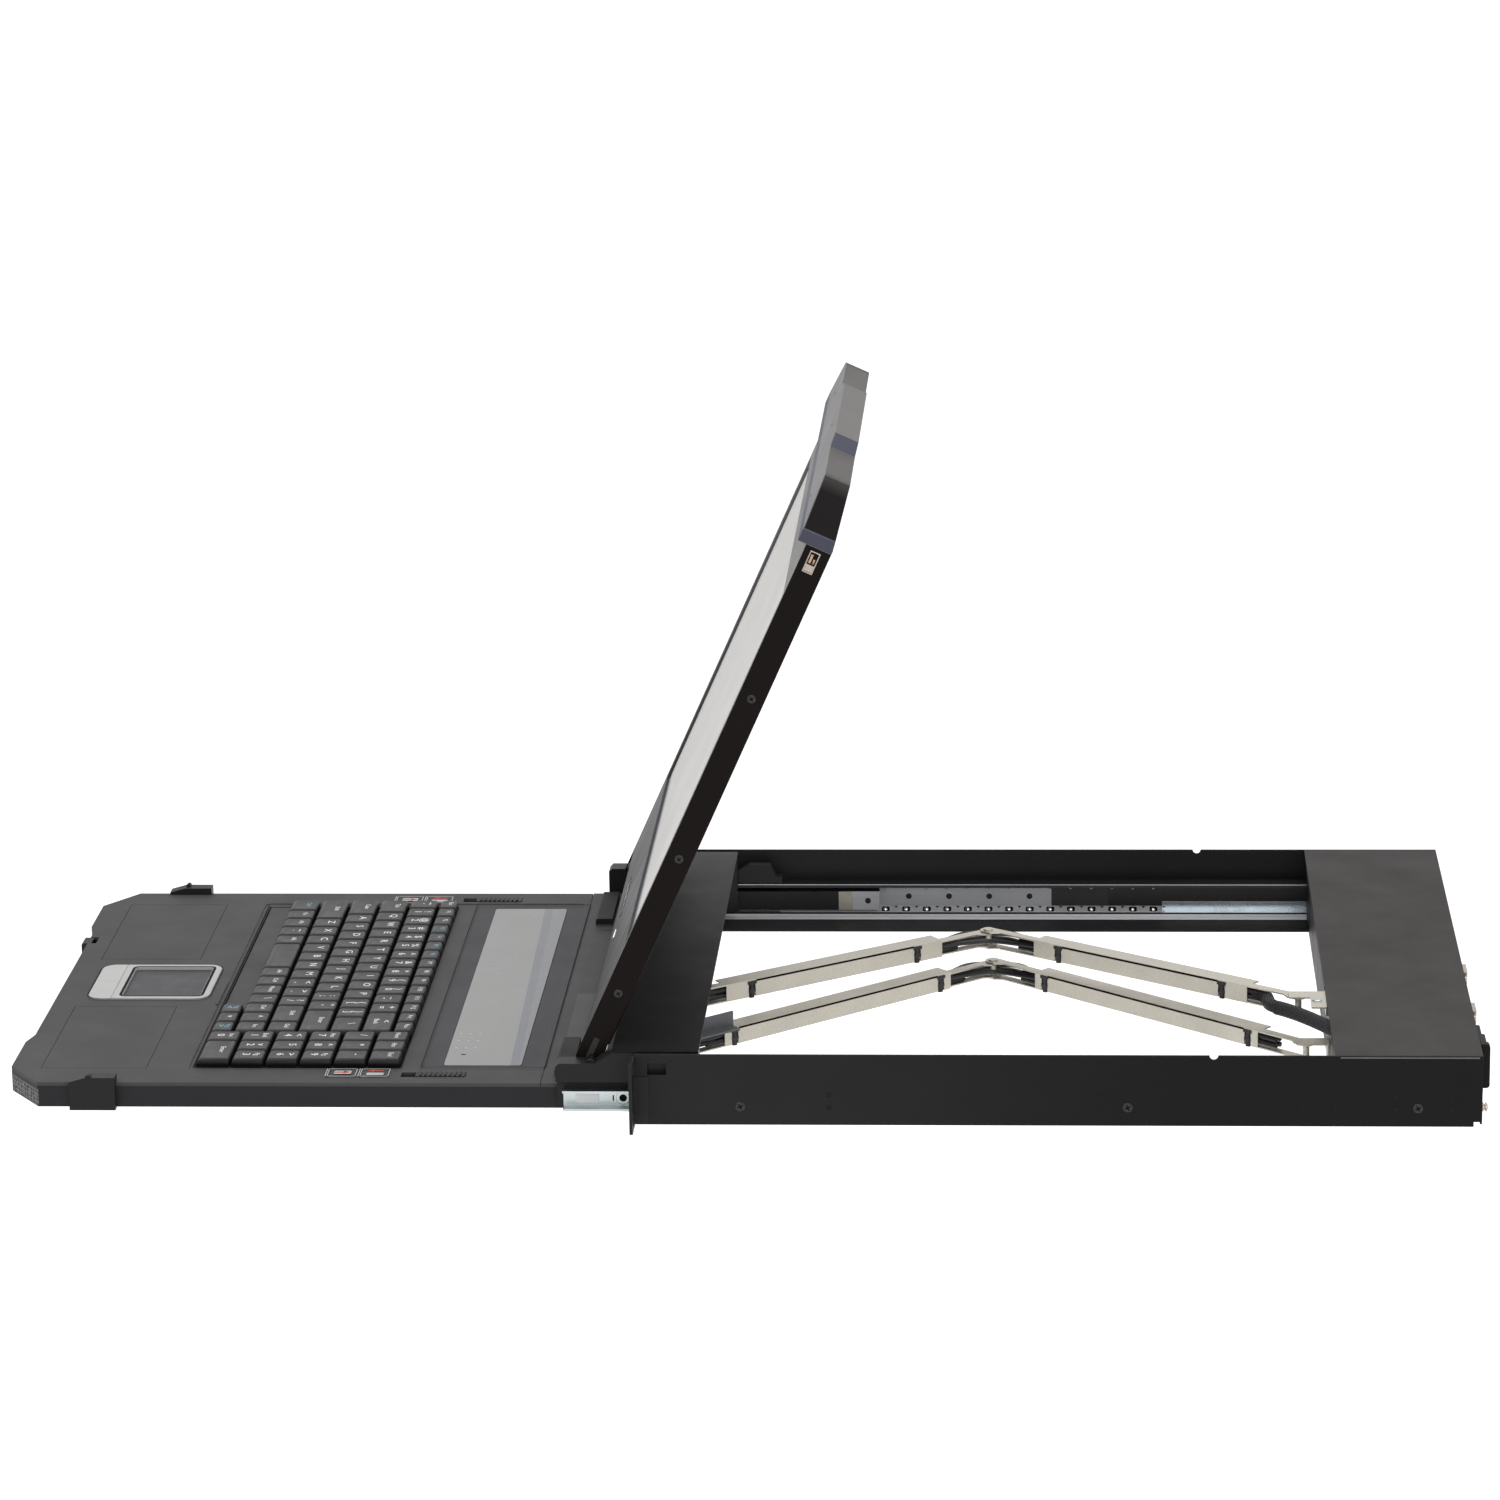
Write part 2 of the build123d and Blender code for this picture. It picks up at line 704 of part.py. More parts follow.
# Keyboard deck: the moulded top of the tray with its openings, recessed well and palm rest lines
key_well_half = keyboard_width / 2 + keyboard_margin
well_border = 6.0
well_rear_gap = 8.0
well_corner = 4.0
deck_round = 0.8
control_corner = 2.0
latch_front_gap = 1.0
latch_end_gap = 0.4
ridge_x = 24.0
ridge_gap = 7.0
ridge_length = 46.0
ridge_width = 1.6
well_half = key_well_half + well_border
latch_slot_front = latch_y - latch_length / 2 - latch_travel - latch_front_gap
latch_slot_rear = latch_y + latch_length / 2 + latch_end_gap
button_depth = touchpad_depth - touchpad_window_depth - 2 * touchpad_rim
button_front = touchpad_y - touchpad_depth / 2
ridge_height = 0.8
front_latch_rear = tray_front + 2 * tray_wall

with BuildPart() as keyboard_deck:
    with BuildSketch(Plane.XY.offset(deck_bottom)):
        add(pan_outline)
    extrude(amount=deck_thickness)
    fillet(keyboard_deck.edges().group_by(Axis.Z)[-1].filter_by(Axis.Y), deck_round)
    slab(-tray_half - overcut, tray_half + overcut, seam_y - seam_gap / 2, tray_rear + overcut,
         deck_bottom - overcut, tray_top + overcut, mode=Mode.SUBTRACT)
    with BuildSketch(Plane.XY.offset(tray_top - well_depth)):
        with Locations((0, (keyboard_front + seam_y - well_rear_gap) / 2)):
            RectangleRounded(2 * well_half, seam_y - keyboard_front, well_corner)
    extrude(amount=well_depth, mode=Mode.SUBTRACT)
    slab(-key_well_half, key_well_half, keyboard_front - keyboard_margin, keyboard_rear + keyboard_margin,
         deck_bottom - overcut, tray_top + overcut, mode=Mode.SUBTRACT)
    with BuildSketch(Plane.XY.offset(deck_bottom - overcut)):
        with Locations((0, touchpad_y)):
            RectangleRounded(touchpad_width, touchpad_depth, touchpad_corner)
        with Locations((0, control_y)):
            RectangleRounded(control_width, control_depth, control_corner)
        with Locations(*[(side * latch_x, (latch_slot_front + latch_slot_rear) / 2) for side in (-1, 1)]):
            Rectangle(latch_width + 2 * seat_gap, latch_slot_rear - latch_slot_front)
    extrude(amount=deck_thickness + 2 * overcut, mode=Mode.SUBTRACT)
    slab(front_latch_x - front_latch_width / 2 - seat_gap, front_latch_x + front_latch_width / 2 + seat_gap,
         tray_front - corner_lip - overcut, front_latch_rear + front_latch_travel + seat_gap,
         deck_bottom - overcut, tray_top + overcut, mode=Mode.SUBTRACT)
    with BuildSketch(Plane.XY.offset(tray_top - palm_line)):
        for side in (-1, 1):
            with Locations((side * (palm_inner_x + palm_width / 2), palm_y)):
                Rectangle(palm_width, palm_depth)
                Rectangle(palm_width - 2 * palm_line, palm_depth - 2 * palm_line, mode=Mode.SUBTRACT)
    extrude(amount=palm_line, mode=Mode.SUBTRACT)
    with BuildSketch(Plane.XY.offset(tray_top)):
        with Locations((ridge_x, touchpad_y + touchpad_depth / 2 + ridge_gap)):
            Rectangle(ridge_length, ridge_width)
    extrude(amount=ridge_height)
save(keyboard_deck.part, "keyboard_deck")

# Hinge deck: the rear moulding, with a raised block before each hinge, a trough between them for the
# lid's menu buttons, and square lugs that hold the hinge pins
lug_inset = 13.0
lug_end_gap = 2.3
lug_half = 7.5
lug_chamfer = 2.0
block_inner_inset = 75.0
block_outer_inset = 13.0
block_front_gap = 7.5
block_depth = 11.0
block_height = 5.0
block_chamfer = 1.0
trough_left = -117.0
trough_right = 20.0
trough_drop = 1.4
trough_rear_gap = 12.0

lug_inner_x = tray_half - lug_inset
lug_outer_x = tray_half - lug_end_gap
block_front = seam_y + block_front_gap

with BuildPart() as hinge_deck:
    slab(-tray_half, tray_half, seam_y + seam_gap / 2, tray_rear, deck_bottom, tray_top)
    fillet(hinge_deck.edges().group_by(Axis.Z)[-1].filter_by(Axis.X).sort_by(Axis.Y)[-1:], deck_round)
    with BuildSketch(Plane.YZ.offset(trough_left)) as trough_profile:
        with BuildLine():
            Polyline((block_front, tray_top), (tray_rear - trough_rear_gap, tray_top - trough_drop),
                     (tray_rear - trough_rear_gap, tray_top), close=True)
        make_face()
    extrude(amount=trough_right - trough_left, mode=Mode.SUBTRACT)
    for side in (-1, 1):
        with BuildSketch(Plane.YZ.offset(side * (tray_half - block_inner_inset))) as block_profile:
            with BuildLine():
                Polyline((block_front, tray_top), (block_front, tray_top + block_height - block_chamfer),
                         (block_front + block_chamfer, tray_top + block_height),
                         (block_front + block_depth, tray_top + block_height),
                         (block_front + block_depth, tray_top), close=True)
            make_face()
        extrude(amount=side * (block_inner_inset - block_outer_inset))
        with BuildSketch(Plane.YZ.offset(side * lug_inner_x)) as lug_profile:
            with BuildLine():
                Polyline((hinge_y - lug_half, tray_top), (hinge_y - lug_half, hinge_z + lug_half - lug_chamfer),
                         (hinge_y - lug_half + lug_chamfer, hinge_z + lug_half),
                         (hinge_y + lug_half - lug_chamfer, hinge_z + lug_half),
                         (hinge_y + lug_half, hinge_z + lug_half - lug_chamfer),
                         (hinge_y + lug_half, tray_top), close=True)
            make_face()
        extrude(amount=side * (lug_outer_x - lug_inner_x))
    with BuildSketch(Plane.YZ.offset(-tray_half - overcut)) as pin_bore:
        with Locations((hinge_y, hinge_z)):
            Circle(hinge_pin_radius)
    extrude(amount=2 * tray_half + 2 * overcut, mode=Mode.SUBTRACT)
save(hinge_deck.part, "hinge_deck")

# Hinge pins: fixed in the carriage sides and the lugs, running through the lid's barrels
pin_overhang = 3.0
pin_inner_x = barrel_x - barrel_length / 2 - pin_overhang

with BuildPart() as hinge_pins:
    for side in (-1, 1):
        with BuildSketch(Plane.YZ.offset(side * pin_inner_x)):
            with Locations((hinge_y, hinge_z)):
                Circle(hinge_pin_radius)
        extrude(amount=side * (carriage_inner_x + hinge_hole_depth - pin_inner_x))
save(hinge_pins.part, "hinge_pins")

# Keyboard plate: the steel plate under the keys, on posts from the pan, with the blank strip in front.
# The square stems of each row of keys run through a slot in it.
plate_gap = 0.5
stem_reach = 0.6
strip_columns = 3
plate_lap = 4.0
plate_post_width = 5.0
plate_post_inset = 15.2
plate_post_columns = 7
strip_rise = 1.4

plate_top = key_base_z - key_travel - plate_gap
plate_bottom = plate_top - keyboard_plate_thickness
stem_end = plate_bottom - stem_reach
strip_end = main_column_count - strip_columns
plate_post_x = plate_post_columns * key_pitch_x
stem_rows = []


def key_cap(x0, x1, y0, y1):
    """One key between its left, right, front and rear limits: a cap that tapers to its top, and its stem."""
    left, right = x0 + key_gap / 2, x1 - key_gap / 2
    front, rear = y0 + key_gap / 2, y1 - key_gap / 2
    middle_x, middle_y = (left + right) / 2, (front + rear) / 2
    with BuildPart(mode=Mode.PRIVATE) as cap:
        with BuildSketch(Plane.XZ.offset(-front)):
            with BuildLine():
                Polyline((left, key_base_z), (left + key_top_taper_x, key_top_z),
                         (right - key_top_taper_x, key_top_z), (right, key_base_z), close=True)
            make_face()
        extrude(amount=front - rear)
        with BuildSketch(Plane.YZ.offset(left)):
            with BuildLine():
                Polyline((front, key_base_z), (front + key_top_taper_y + key_edge, key_top_z),
                         (rear - key_top_taper_y + key_edge, key_top_z), (rear, key_base_z), close=True)
            make_face()
        extrude(amount=right - left, mode=Mode.INTERSECT)
        slab(middle_x - stem_width / 2, middle_x + stem_width / 2, middle_y - stem_width / 2,
             middle_y + stem_width / 2, stem_end, key_base_z)
    return cap.part


def row_caps(widths, start_column, front, depth):
    """Caps of one row, left to right, from their widths in key units."""
    caps = []
    column = start_column
    for width in widths:
        x0 = -keyboard_width / 2 + column * key_pitch_x
        caps.append(key_cap(x0, x0 + width * key_pitch_x, front, front + depth))
        column += width
    end_x = -keyboard_width / 2 + column * key_pitch_x
    stem_rows.append((-keyboard_width / 2 + start_column * key_pitch_x, end_x, front + depth / 2))
    return caps


# Key rows, front to rear
row_front = [keyboard_front + arrow_row_depth + index * key_pitch_y for index in range(6)]
one = 1.0
front_left_row = [1.25, one, one, one, one]
front_right_row = [one] * 7
space_units = 2.75
lower_row = [2.25] + [one] * 10 + [1.75, one]
home_row = [1.75] + [one] * 11
upper_row = [1.5] + [one] * 12
digit_row = [one] * 13 + [2.0]
function_row = [one] * 15
space_start = sum(front_left_row)
enter_upper_start = sum(upper_row)
enter_lower_start = sum(home_row)

space_cap = row_caps([space_units], space_start, row_front[0], key_pitch_y)
front_caps = row_caps(front_left_row, 0, row_front[0], key_pitch_y)
front_caps += row_caps(front_right_row, space_start + space_units, row_front[0], key_pitch_y)
front_caps += row_caps([one] * 3, strip_end, keyboard_front, arrow_row_depth)
lower_caps = row_caps(lower_row, 0, row_front[1], key_pitch_y)
home_caps = row_caps(home_row, 0, row_front[2], key_pitch_y)
enter_width = main_column_count - enter_lower_start
home_caps += row_caps([enter_width], enter_lower_start, row_front[2], key_pitch_y)
upper_caps = row_caps(upper_row, 0, row_front[3], key_pitch_y)
upper_caps += row_caps([main_column_count - enter_upper_start], enter_upper_start, row_front[3], key_pitch_y)
digit_caps = row_caps(digit_row, 0, row_front[4], key_pitch_y)
function_caps = row_caps(function_row, 0, row_front[5], function_row_depth)

pad_row_count = 6
pad_row_depth = keyboard_depth / pad_row_count
pad_caps = row_caps([one, 2.0], main_column_count, keyboard_front, pad_row_depth)
for pad_row in range(1, pad_row_count):
    pad_caps += row_caps([one] * pad_column_count, main_column_count,
                         keyboard_front + pad_row * pad_row_depth, pad_row_depth)

key_groups = {
    "space_bar": space_cap,
    "keys_front_row": front_caps,
    "keys_lower_row": lower_caps,
    "keys_home_row": home_caps,
    "keys_upper_row": upper_caps,
    "keys_digit_row": digit_caps,
    "keys_function_row": function_caps,
    "keys_number_pad": pad_caps,
}
for group_name, caps in key_groups.items():
    save(Compound(children=caps), group_name)

with BuildPart() as keyboard_plate:
    slab(-key_well_half - plate_lap, key_well_half + plate_lap, keyboard_front - plate_lap,
         keyboard_rear + plate_lap, plate_bottom, plate_top)
    slab(-keyboard_width / 2 + key_gap / 2, -keyboard_width / 2 + strip_end * key_pitch_x - key_gap / 2,
         keyboard_front + key_gap / 2, keyboard_front + arrow_row_depth - key_gap / 2,
         plate_top, deck_bottom + strip_rise)
    for post_x in (-plate_post_x, 0, plate_post_x):
        for post_y in (keyboard_front + plate_post_inset, keyboard_rear - plate_post_inset):
            slab(post_x - plate_post_width / 2, post_x + plate_post_width / 2, post_y - plate_post_width / 2,
                 post_y + plate_post_width / 2, tray_bottom + tray_wall, plate_bottom)
    for row_left, row_right, row_y in stem_rows:
        slab(row_left + stem_width, row_right - stem_width, row_y - stem_width / 2 - seat_gap,
             row_y + stem_width / 2 + seat_gap, stem_end, plate_top + overcut, mode=Mode.SUBTRACT)
save(keyboard_plate.part, "keyboard_plate")

# Touchpad: a rounded frame round the sensing surface, with two buttons along its front
frame_bottom = deck_bottom
frame_chamfer = 0.6
window_corner = 2.0
button_floor_gap = 0.1
button_chamfer = 0.4
pad_side_gap = 2.0
pad_rear_lap = 4.0
pad_base = 1.6
pad_rise = 1.4
window_y = button_front + button_depth + touchpad_rim + touchpad_window_depth / 2

with BuildPart() as touchpad_frame:
    with BuildSketch(Plane.XY.offset(frame_bottom)):
        with Locations((0, touchpad_y)):
            RectangleRounded(touchpad_width - seat_gap, touchpad_depth - seat_gap, touchpad_corner)
    extrude(amount=deck_thickness + touchpad_proud)
    chamfer(touchpad_frame.edges().group_by(Axis.Z)[-1], frame_chamfer)
    with BuildSketch(Plane.XY.offset(frame_bottom - overcut)):
        with Locations((0, window_y)):
            RectangleRounded(touchpad_window_width, touchpad_window_depth, window_corner)
    extrude(amount=deck_thickness + touchpad_proud + 2 * overcut, mode=Mode.SUBTRACT)
    slab(-touchpad_width / 2 - overcut, touchpad_width / 2 + overcut, button_front - overcut,
         button_front + button_depth, frame_bottom - overcut, tray_top + touchpad_proud + overcut,
         mode=Mode.SUBTRACT)
save(touchpad_frame.part, "touchpad_frame")

with BuildPart() as touchpad:
    slab(-touchpad_width / 2 + pad_side_gap, touchpad_width / 2 - pad_side_gap, button_front + touchpad_rim / 2,
         window_y + touchpad_window_depth / 2 + pad_rear_lap, frame_bottom - pad_base, frame_bottom)
    with BuildSketch(Plane.XY.offset(frame_bottom)):
        with Locations((0, window_y)):
            RectangleRounded(touchpad_window_width - 2 * seat_gap, touchpad_window_depth - 2 * seat_gap,
                             window_corner)
    extrude(amount=pad_rise)
save(touchpad.part, "touchpad")

with BuildPart() as touchpad_button:
    with BuildSketch(Plane.XY.offset(frame_bottom + touchpad_button_travel + button_floor_gap)):
        with Locations((0, touchpad_y)):
            RectangleRounded(touchpad_width - 2 * seat_gap, touchpad_depth - 2 * seat_gap, touchpad_corner)
        with Locations((0, button_front + button_depth - seat_gap + touchpad_depth / 2)):
            Rectangle(touchpad_width, touchpad_depth, mode=Mode.SUBTRACT)
        with Locations((-touchpad_width / 2 + seat_gap / 2, touchpad_y)):
            Rectangle(touchpad_width, touchpad_depth, mode=Mode.SUBTRACT)
    extrude(amount=deck_thickness + touchpad_proud - touchpad_button_travel - button_floor_gap)
    chamfer(touchpad_button.edges().group_by(Axis.Z)[-1], button_chamfer)
save_pair(touchpad_button.part, "touchpad_button")

# Control panel: the glossy strip between the keyboard and the hinge
control_rise = 0.3
control_lap = 3.0
control_base = 1.2
control_step = 1.0
control_top = tray_top - well_depth + control_rise

with BuildPart() as control_panel:
    with BuildSketch(Plane.XY.offset(control_top - control_thickness)):
        with Locations((0, control_y)):
            RectangleRounded(control_width - 2 * seat_gap, control_depth - 2 * seat_gap, control_corner)
    extrude(amount=control_thickness)
    slab(-control_width / 2 - control_lap, control_width / 2 + control_lap,
         control_y - control_depth / 2 - control_lap, control_y + control_depth / 2 + control_lap,
         deck_bottom - control_base, deck_bottom)
    slab(-control_width / 2 + control_step, control_width / 2 - control_step,
         control_y - control_depth / 2 + control_step, control_y + control_depth / 2 - control_step,
         deck_bottom, control_top - control_thickness)
save(control_panel.part, "control_panel")

# Release latches: ribbed sliders in slots at both ends of the panel
latch_rise = 0.4
latch_wing = 3.0
latch_base = 1.5
latch_deck_gap = 0.1
rib_inset = 0.8
rib_thickness = 1.2
rib_height = 0.7
rib_pitch = latch_length / (latch_rib_count + 1)

with BuildPart() as release_latch:
    slab(latch_x - latch_width / 2, latch_x + latch_width / 2, latch_y - latch_length / 2,
         latch_y + latch_length / 2, deck_bottom - latch_base, tray_top + latch_rise)
    slab(latch_x - latch_width / 2 - latch_wing, latch_x + latch_width / 2 + latch_wing,
         latch_y - latch_length / 2, latch_y + latch_length / 2,
         deck_bottom - latch_base, deck_bottom - latch_deck_gap)
    for rib in range(latch_rib_count):
        rib_y = latch_y - latch_length / 2 + (rib + 1) * rib_pitch
        slab(latch_x - latch_width / 2 + rib_inset, latch_x + latch_width / 2 - rib_inset,
             rib_y - rib_thickness / 2, rib_y + rib_thickness / 2,
             tray_top + latch_rise, tray_top + latch_rise + rib_height)
save_pair(release_latch.part, "release_latch")

# Side catches: clips over the tray edge with a rounded detent on top
foot_drop = 0.6
step_rise = 1.6
clip_rise = 4.4
clip_ramp = 10.0
clip_overlap = 4.0
clip_side_gap = 0.1
detent_radius = 1.7
detent_shift = 2.0
detent_inset = 0.5

clip_front = side_catch_y - side_catch_length / 2
clip_end = side_catch_y + side_catch_length / 2
clip_foot = tray_bottom - foot_drop
clip_step = tray_top + step_rise
clip_top = tray_top + clip_rise

with BuildPart() as side_catches:
    for side in (-1, 1):
        with BuildSketch(Plane.YZ.offset(side * (tray_half + clip_side_gap))):
            with BuildLine():
                Polyline((clip_front, clip_foot), (clip_front, clip_step), (clip_front + clip_ramp, clip_top),
                         (clip_end, clip_top), (clip_end, clip_foot), close=True)
            make_face()
        extrude(amount=side * side_catch_reach)
        with BuildSketch(Plane.YZ.offset(side * (tray_half - clip_overlap))):
            with BuildLine():
                Polyline((clip_front, tray_top), (clip_front, clip_step), (clip_front + clip_ramp, clip_top),
                         (clip_end, clip_top), (clip_end, tray_top), close=True)
            make_face()
        extrude(amount=side * (clip_overlap + 2 * clip_side_gap))
        with BuildSketch(Plane.YZ.offset(side * (tray_half + clip_side_gap + detent_inset))):
            with Locations((side_catch_y - detent_shift, clip_top)):
                Circle(detent_radius)
        extrude(amount=side * (side_catch_reach - 2 * detent_inset))
save(side_catches.part, "side_catches")

# Front latch: a push hook in the front edge
front_latch_proud = 4.0
front_latch_drop = 0.2
front_latch_round = 1.2

with BuildPart() as front_latch:
    slab(front_latch_x - front_latch_width / 2, front_latch_x + front_latch_width / 2,
         tray_front - front_latch_proud, front_latch_rear, front_latch_bottom, tray_top - front_latch_drop)
    fillet(front_latch.edges().filter_by(Axis.X).group_by(Axis.Y)[0], front_latch_round)
save(front_latch.part, "front_latch")

# Lid planes: one lies in the lid with its height above the hinge axis, the other cuts the lid from the side
lid_along = (0, math.cos(lid_tilt), math.sin(lid_tilt))
lid_normal = (0, -math.sin(lid_tilt), math.cos(lid_tilt))
lid_plane = Plane(origin=(0, hinge_y, hinge_z), x_dir=(1, 0, 0), z_dir=lid_normal)
lid_side_plane = Plane(origin=(0, hinge_y, hinge_z), x_dir=lid_along, z_dir=(1, 0, 0))
shell_floor = lid_back + lid_wall
bezel_back = lid_face - bezel_thickness
arm_slot_gap = 0.3
bezel_seat_gap = 0.1
osd_x = -34.0
osd_a = 29.0
osd_width = 88.0
osd_depth = 13.0
osd_count = 5
osd_pitch = 15.0
osd_radius = 3.0
osd_play = 0.25
osd_dish = 0.5
osd_height = 1.6
usb_end_gap = 9.0
usb_n = 2.5
usb_length = 14.0
usb_height = 6.8
usb_depth = 15.0
lid_screw_rows = (44.0, 136.0, lid_shell_length - 99.0)
lid_screw_n = 1.5
lid_screw_radius = 2.6
lid_screw_head = 0.5
lid_back_round = 1.0
cheek_lap = 2.0
cheek_chamfer = 3.0

cheek_back = lid_back + lid_back_round
usb_a = lid_shell_length - usb_end_gap

# Lid shell: a steel pan open towards the user, slotted for the hinge arms and the socket, whose side walls
# run on past the hinge axis as cheeks
with BuildPart(lid_plane) as lid_shell:
    slab(-lid_half, lid_half, lid_start, lid_shell_length, lid_back, lid_face)
    fillet(lid_shell.edges().filter_by(Axis((0, 0, 0), lid_along)).sort_by(Axis((0, 0, 0), lid_normal))[:2],
           lid_back_round)
    slab(-lid_half + lid_wall, lid_half - lid_wall, lid_start + lid_wall, lid_shell_length - lid_wall,
         shell_floor, lid_face + overcut, mode=Mode.SUBTRACT)
    for side in (-1, 1):
        slab(side * barrel_x - barrel_length / 2 - arm_slot_gap,
             side * barrel_x + barrel_length / 2 + arm_slot_gap,
             lid_start - overcut, lid_start + 2 * lid_wall, shell_floor,
             shell_floor + hinge_arm_thickness + arm_slot_gap, mode=Mode.SUBTRACT)
    slab(lid_half - 2 * lid_wall, lid_half + overcut, usb_a - usb_length / 2, usb_a + usb_length / 2,
         usb_n - usb_height / 2, usb_n + usb_height / 2, mode=Mode.SUBTRACT)
    slab(-lid_half + lid_wall, lid_half - lid_wall, lid_shell_length - 2 * lid_wall, lid_shell_length + overcut,
         bezel_back - bezel_seat_gap, lid_face + overcut, mode=Mode.SUBTRACT)
    for side in (-1, 1):
        with BuildSketch(lid_side_plane.offset(side * (lid_half - lid_wall))) as cheek_profile:
            with BuildLine():
                Polyline((lid_start + cheek_lap, cheek_back), (cheek_chamfer - lid_cheek_drop, cheek_back),
                         (-lid_cheek_drop, cheek_back + cheek_chamfer),
                         (-lid_cheek_drop, lid_face - cheek_chamfer),
                         (cheek_chamfer - lid_cheek_drop, lid_face), (lid_start + cheek_lap, lid_face),
                         close=True)
            make_face()
            Circle(hinge_pin_radius + seat_gap, mode=Mode.SUBTRACT)
        extrude(amount=side * lid_wall)
save(lid_shell.part, "lid_shell")

# Lid bezel: the moulded frame round the screen, thickened at its end into the grip that meets the tray
rim_gap = 0.15
bevel_start = 2.0
bezel_half = lid_half - lid_wall - rim_gap
osd_places = [(osd_x + (index - (osd_count - 1) / 2) * osd_pitch, osd_a) for index in range(osd_count)]

with BuildPart(lid_plane) as lid_bezel:
    with BuildSketch(lid_plane.offset(lid_back)):
        with BuildLine():
            Polyline(
                (0, lid_shell_length + rim_gap),
                (lid_half, lid_shell_length + rim_gap),
                (lid_half, lid_side_length),
                (lid_half - lid_corner_x, lid_length),
                (lid_handle_half + lid_handle_slope, lid_length),
                (lid_handle_half, lid_length + lid_handle_reach),
                (0, lid_length + lid_handle_reach),
            )
            mirror(about=Plane.YZ)
        make_face()
    extrude(amount=lid_face + lid_lip_height - lid_back)
    with BuildSketch(lid_side_plane.offset(-lid_half - overcut)):
        with BuildLine():
            Polyline(
                (lid_shell_length + bevel_start, lid_back - overcut),
                (lid_shell_length + bevel_start, lid_back),
                (lid_length + lid_handle_reach + overcut, lid_back + lid_bevel),
                (lid_length + lid_handle_reach + overcut, lid_back - overcut),
                close=True,
            )
        make_face()
    extrude(amount=2 * lid_half + 2 * overcut, mode=Mode.SUBTRACT)
    slab(-bezel_half, bezel_half, lid_start + lid_wall + rim_gap, lid_shell_length + rim_gap + bevel_start,
         bezel_back, lid_face)
    slab(-screen_width / 2, screen_width / 2, screen_start, screen_start + screen_height,
         bezel_back - overcut, lid_face + overcut, mode=Mode.SUBTRACT)
    with BuildSketch(lid_plane.offset(lid_face - osd_dish)):
        with Locations((osd_x, osd_a)):
            Ellipse(osd_width / 2, osd_depth / 2)
    extrude(amount=osd_dish + overcut, mode=Mode.SUBTRACT)
    with BuildSketch(lid_plane.offset(bezel_back - overcut)):
        with Locations(*osd_places):
            Circle(osd_radius + osd_play)
    extrude(amount=bezel_thickness + 2 * overcut, mode=Mode.SUBTRACT)
save(lid_bezel.part, "lid_bezel")

# Screen module behind the bezel
with BuildPart(lid_plane) as lcd_panel:
    slab(-screen_width / 2 - lcd_border, screen_width / 2 + lcd_border, screen_start - lcd_border,
         screen_start + screen_height + lcd_border, bezel_back - bezel_seat_gap - lcd_thickness,
         bezel_back - bezel_seat_gap)
save(lcd_panel.part, "lcd_panel")

# Screen menu buttons: caps that pass through the bezel
with BuildPart(lid_plane) as osd_buttons:
    with BuildSketch(lid_plane.offset(bezel_back - osd_height)):
        with Locations(*osd_places):
            Circle(osd_radius)
    extrude(amount=2 * osd_height)
save(osd_buttons.part, "osd_buttons")

# Socket in the lid's right side
usb_fit = 0.2
usb_sheet = 0.7
usb_floor = 2.0
usb_tongue_inset = 3.0
usb_tongue_border = 2.0
usb_tongue_bottom = 0.6
usb_tongue_top = 0.5
usb_face_gap = 0.1

with BuildPart(lid_plane) as usb_socket:
    slab(lid_half - usb_depth, lid_half - usb_face_gap, usb_a - usb_length / 2 + usb_fit,
         usb_a + usb_length / 2 - usb_fit, usb_n - usb_height / 2 + usb_fit, usb_n + usb_height / 2 - usb_fit)
    slab(lid_half - usb_depth + usb_floor, lid_half + overcut, usb_a - usb_length / 2 + usb_fit + usb_sheet,
         usb_a + usb_length / 2 - usb_fit - usb_sheet, usb_n - usb_height / 2 + usb_fit + usb_sheet,
         usb_n + usb_height / 2 - usb_fit - usb_sheet, mode=Mode.SUBTRACT)
    slab(lid_half - usb_depth + usb_floor / 2, lid_half - usb_tongue_inset,
         usb_a - usb_length / 2 + usb_tongue_border, usb_a + usb_length / 2 - usb_tongue_border,
         usb_n + usb_tongue_bottom, usb_n + usb_height / 2 - usb_tongue_top)
save(usb_socket.part, "usb_socket")

# Screws in the lid's sides
with BuildPart(lid_plane) as lid_screws:
    for side in (-1, 1):
        for screw_a in lid_screw_rows:
            with Locations((side * (lid_half + lid_screw_head / 2), screw_a, lid_screw_n)):
                Cylinder(lid_screw_radius, lid_screw_head, rotation=(0, 90, 0))
save(lid_screws.part, "lid_screws")

# Lid hinges: barrels that turn on the pins, with arms fixed to the shell's floor
with BuildPart(lid_plane) as lid_hinges:
    for side in (-1, 1):
        with Locations((side * barrel_x, 0, 0)):
            Cylinder(barrel_radius, barrel_length, rotation=(0, 90, 0))
        slab(side * barrel_x - barrel_length / 2, side * barrel_x + barrel_length / 2, 0, hinge_arm_length,
             shell_floor, shell_floor + hinge_arm_thickness)
        with Locations((side * barrel_x, 0, 0)):
            Cylinder(hinge_pin_radius + hinge_play, barrel_length + 2 * overcut, rotation=(0, 90, 0),
                     mode=Mode.SUBTRACT)
save(lid_hinges.part, "lid_hinges")

# Cable arms: each is a pair of open channels, hinged at the rear box, at the elbow and under the carriage
link_inner_w = 1.5
link_outer_w = link_inner_w - link_width
tongue_gap = 0.15
tongue_chamfer = 3.0
tie_slot = 5.0
tie_wrap = 0.6
tie_gap = 0.2
lead_overhang = 14.0
bracket_gap = 0.2
bracket_sheet = 1.0


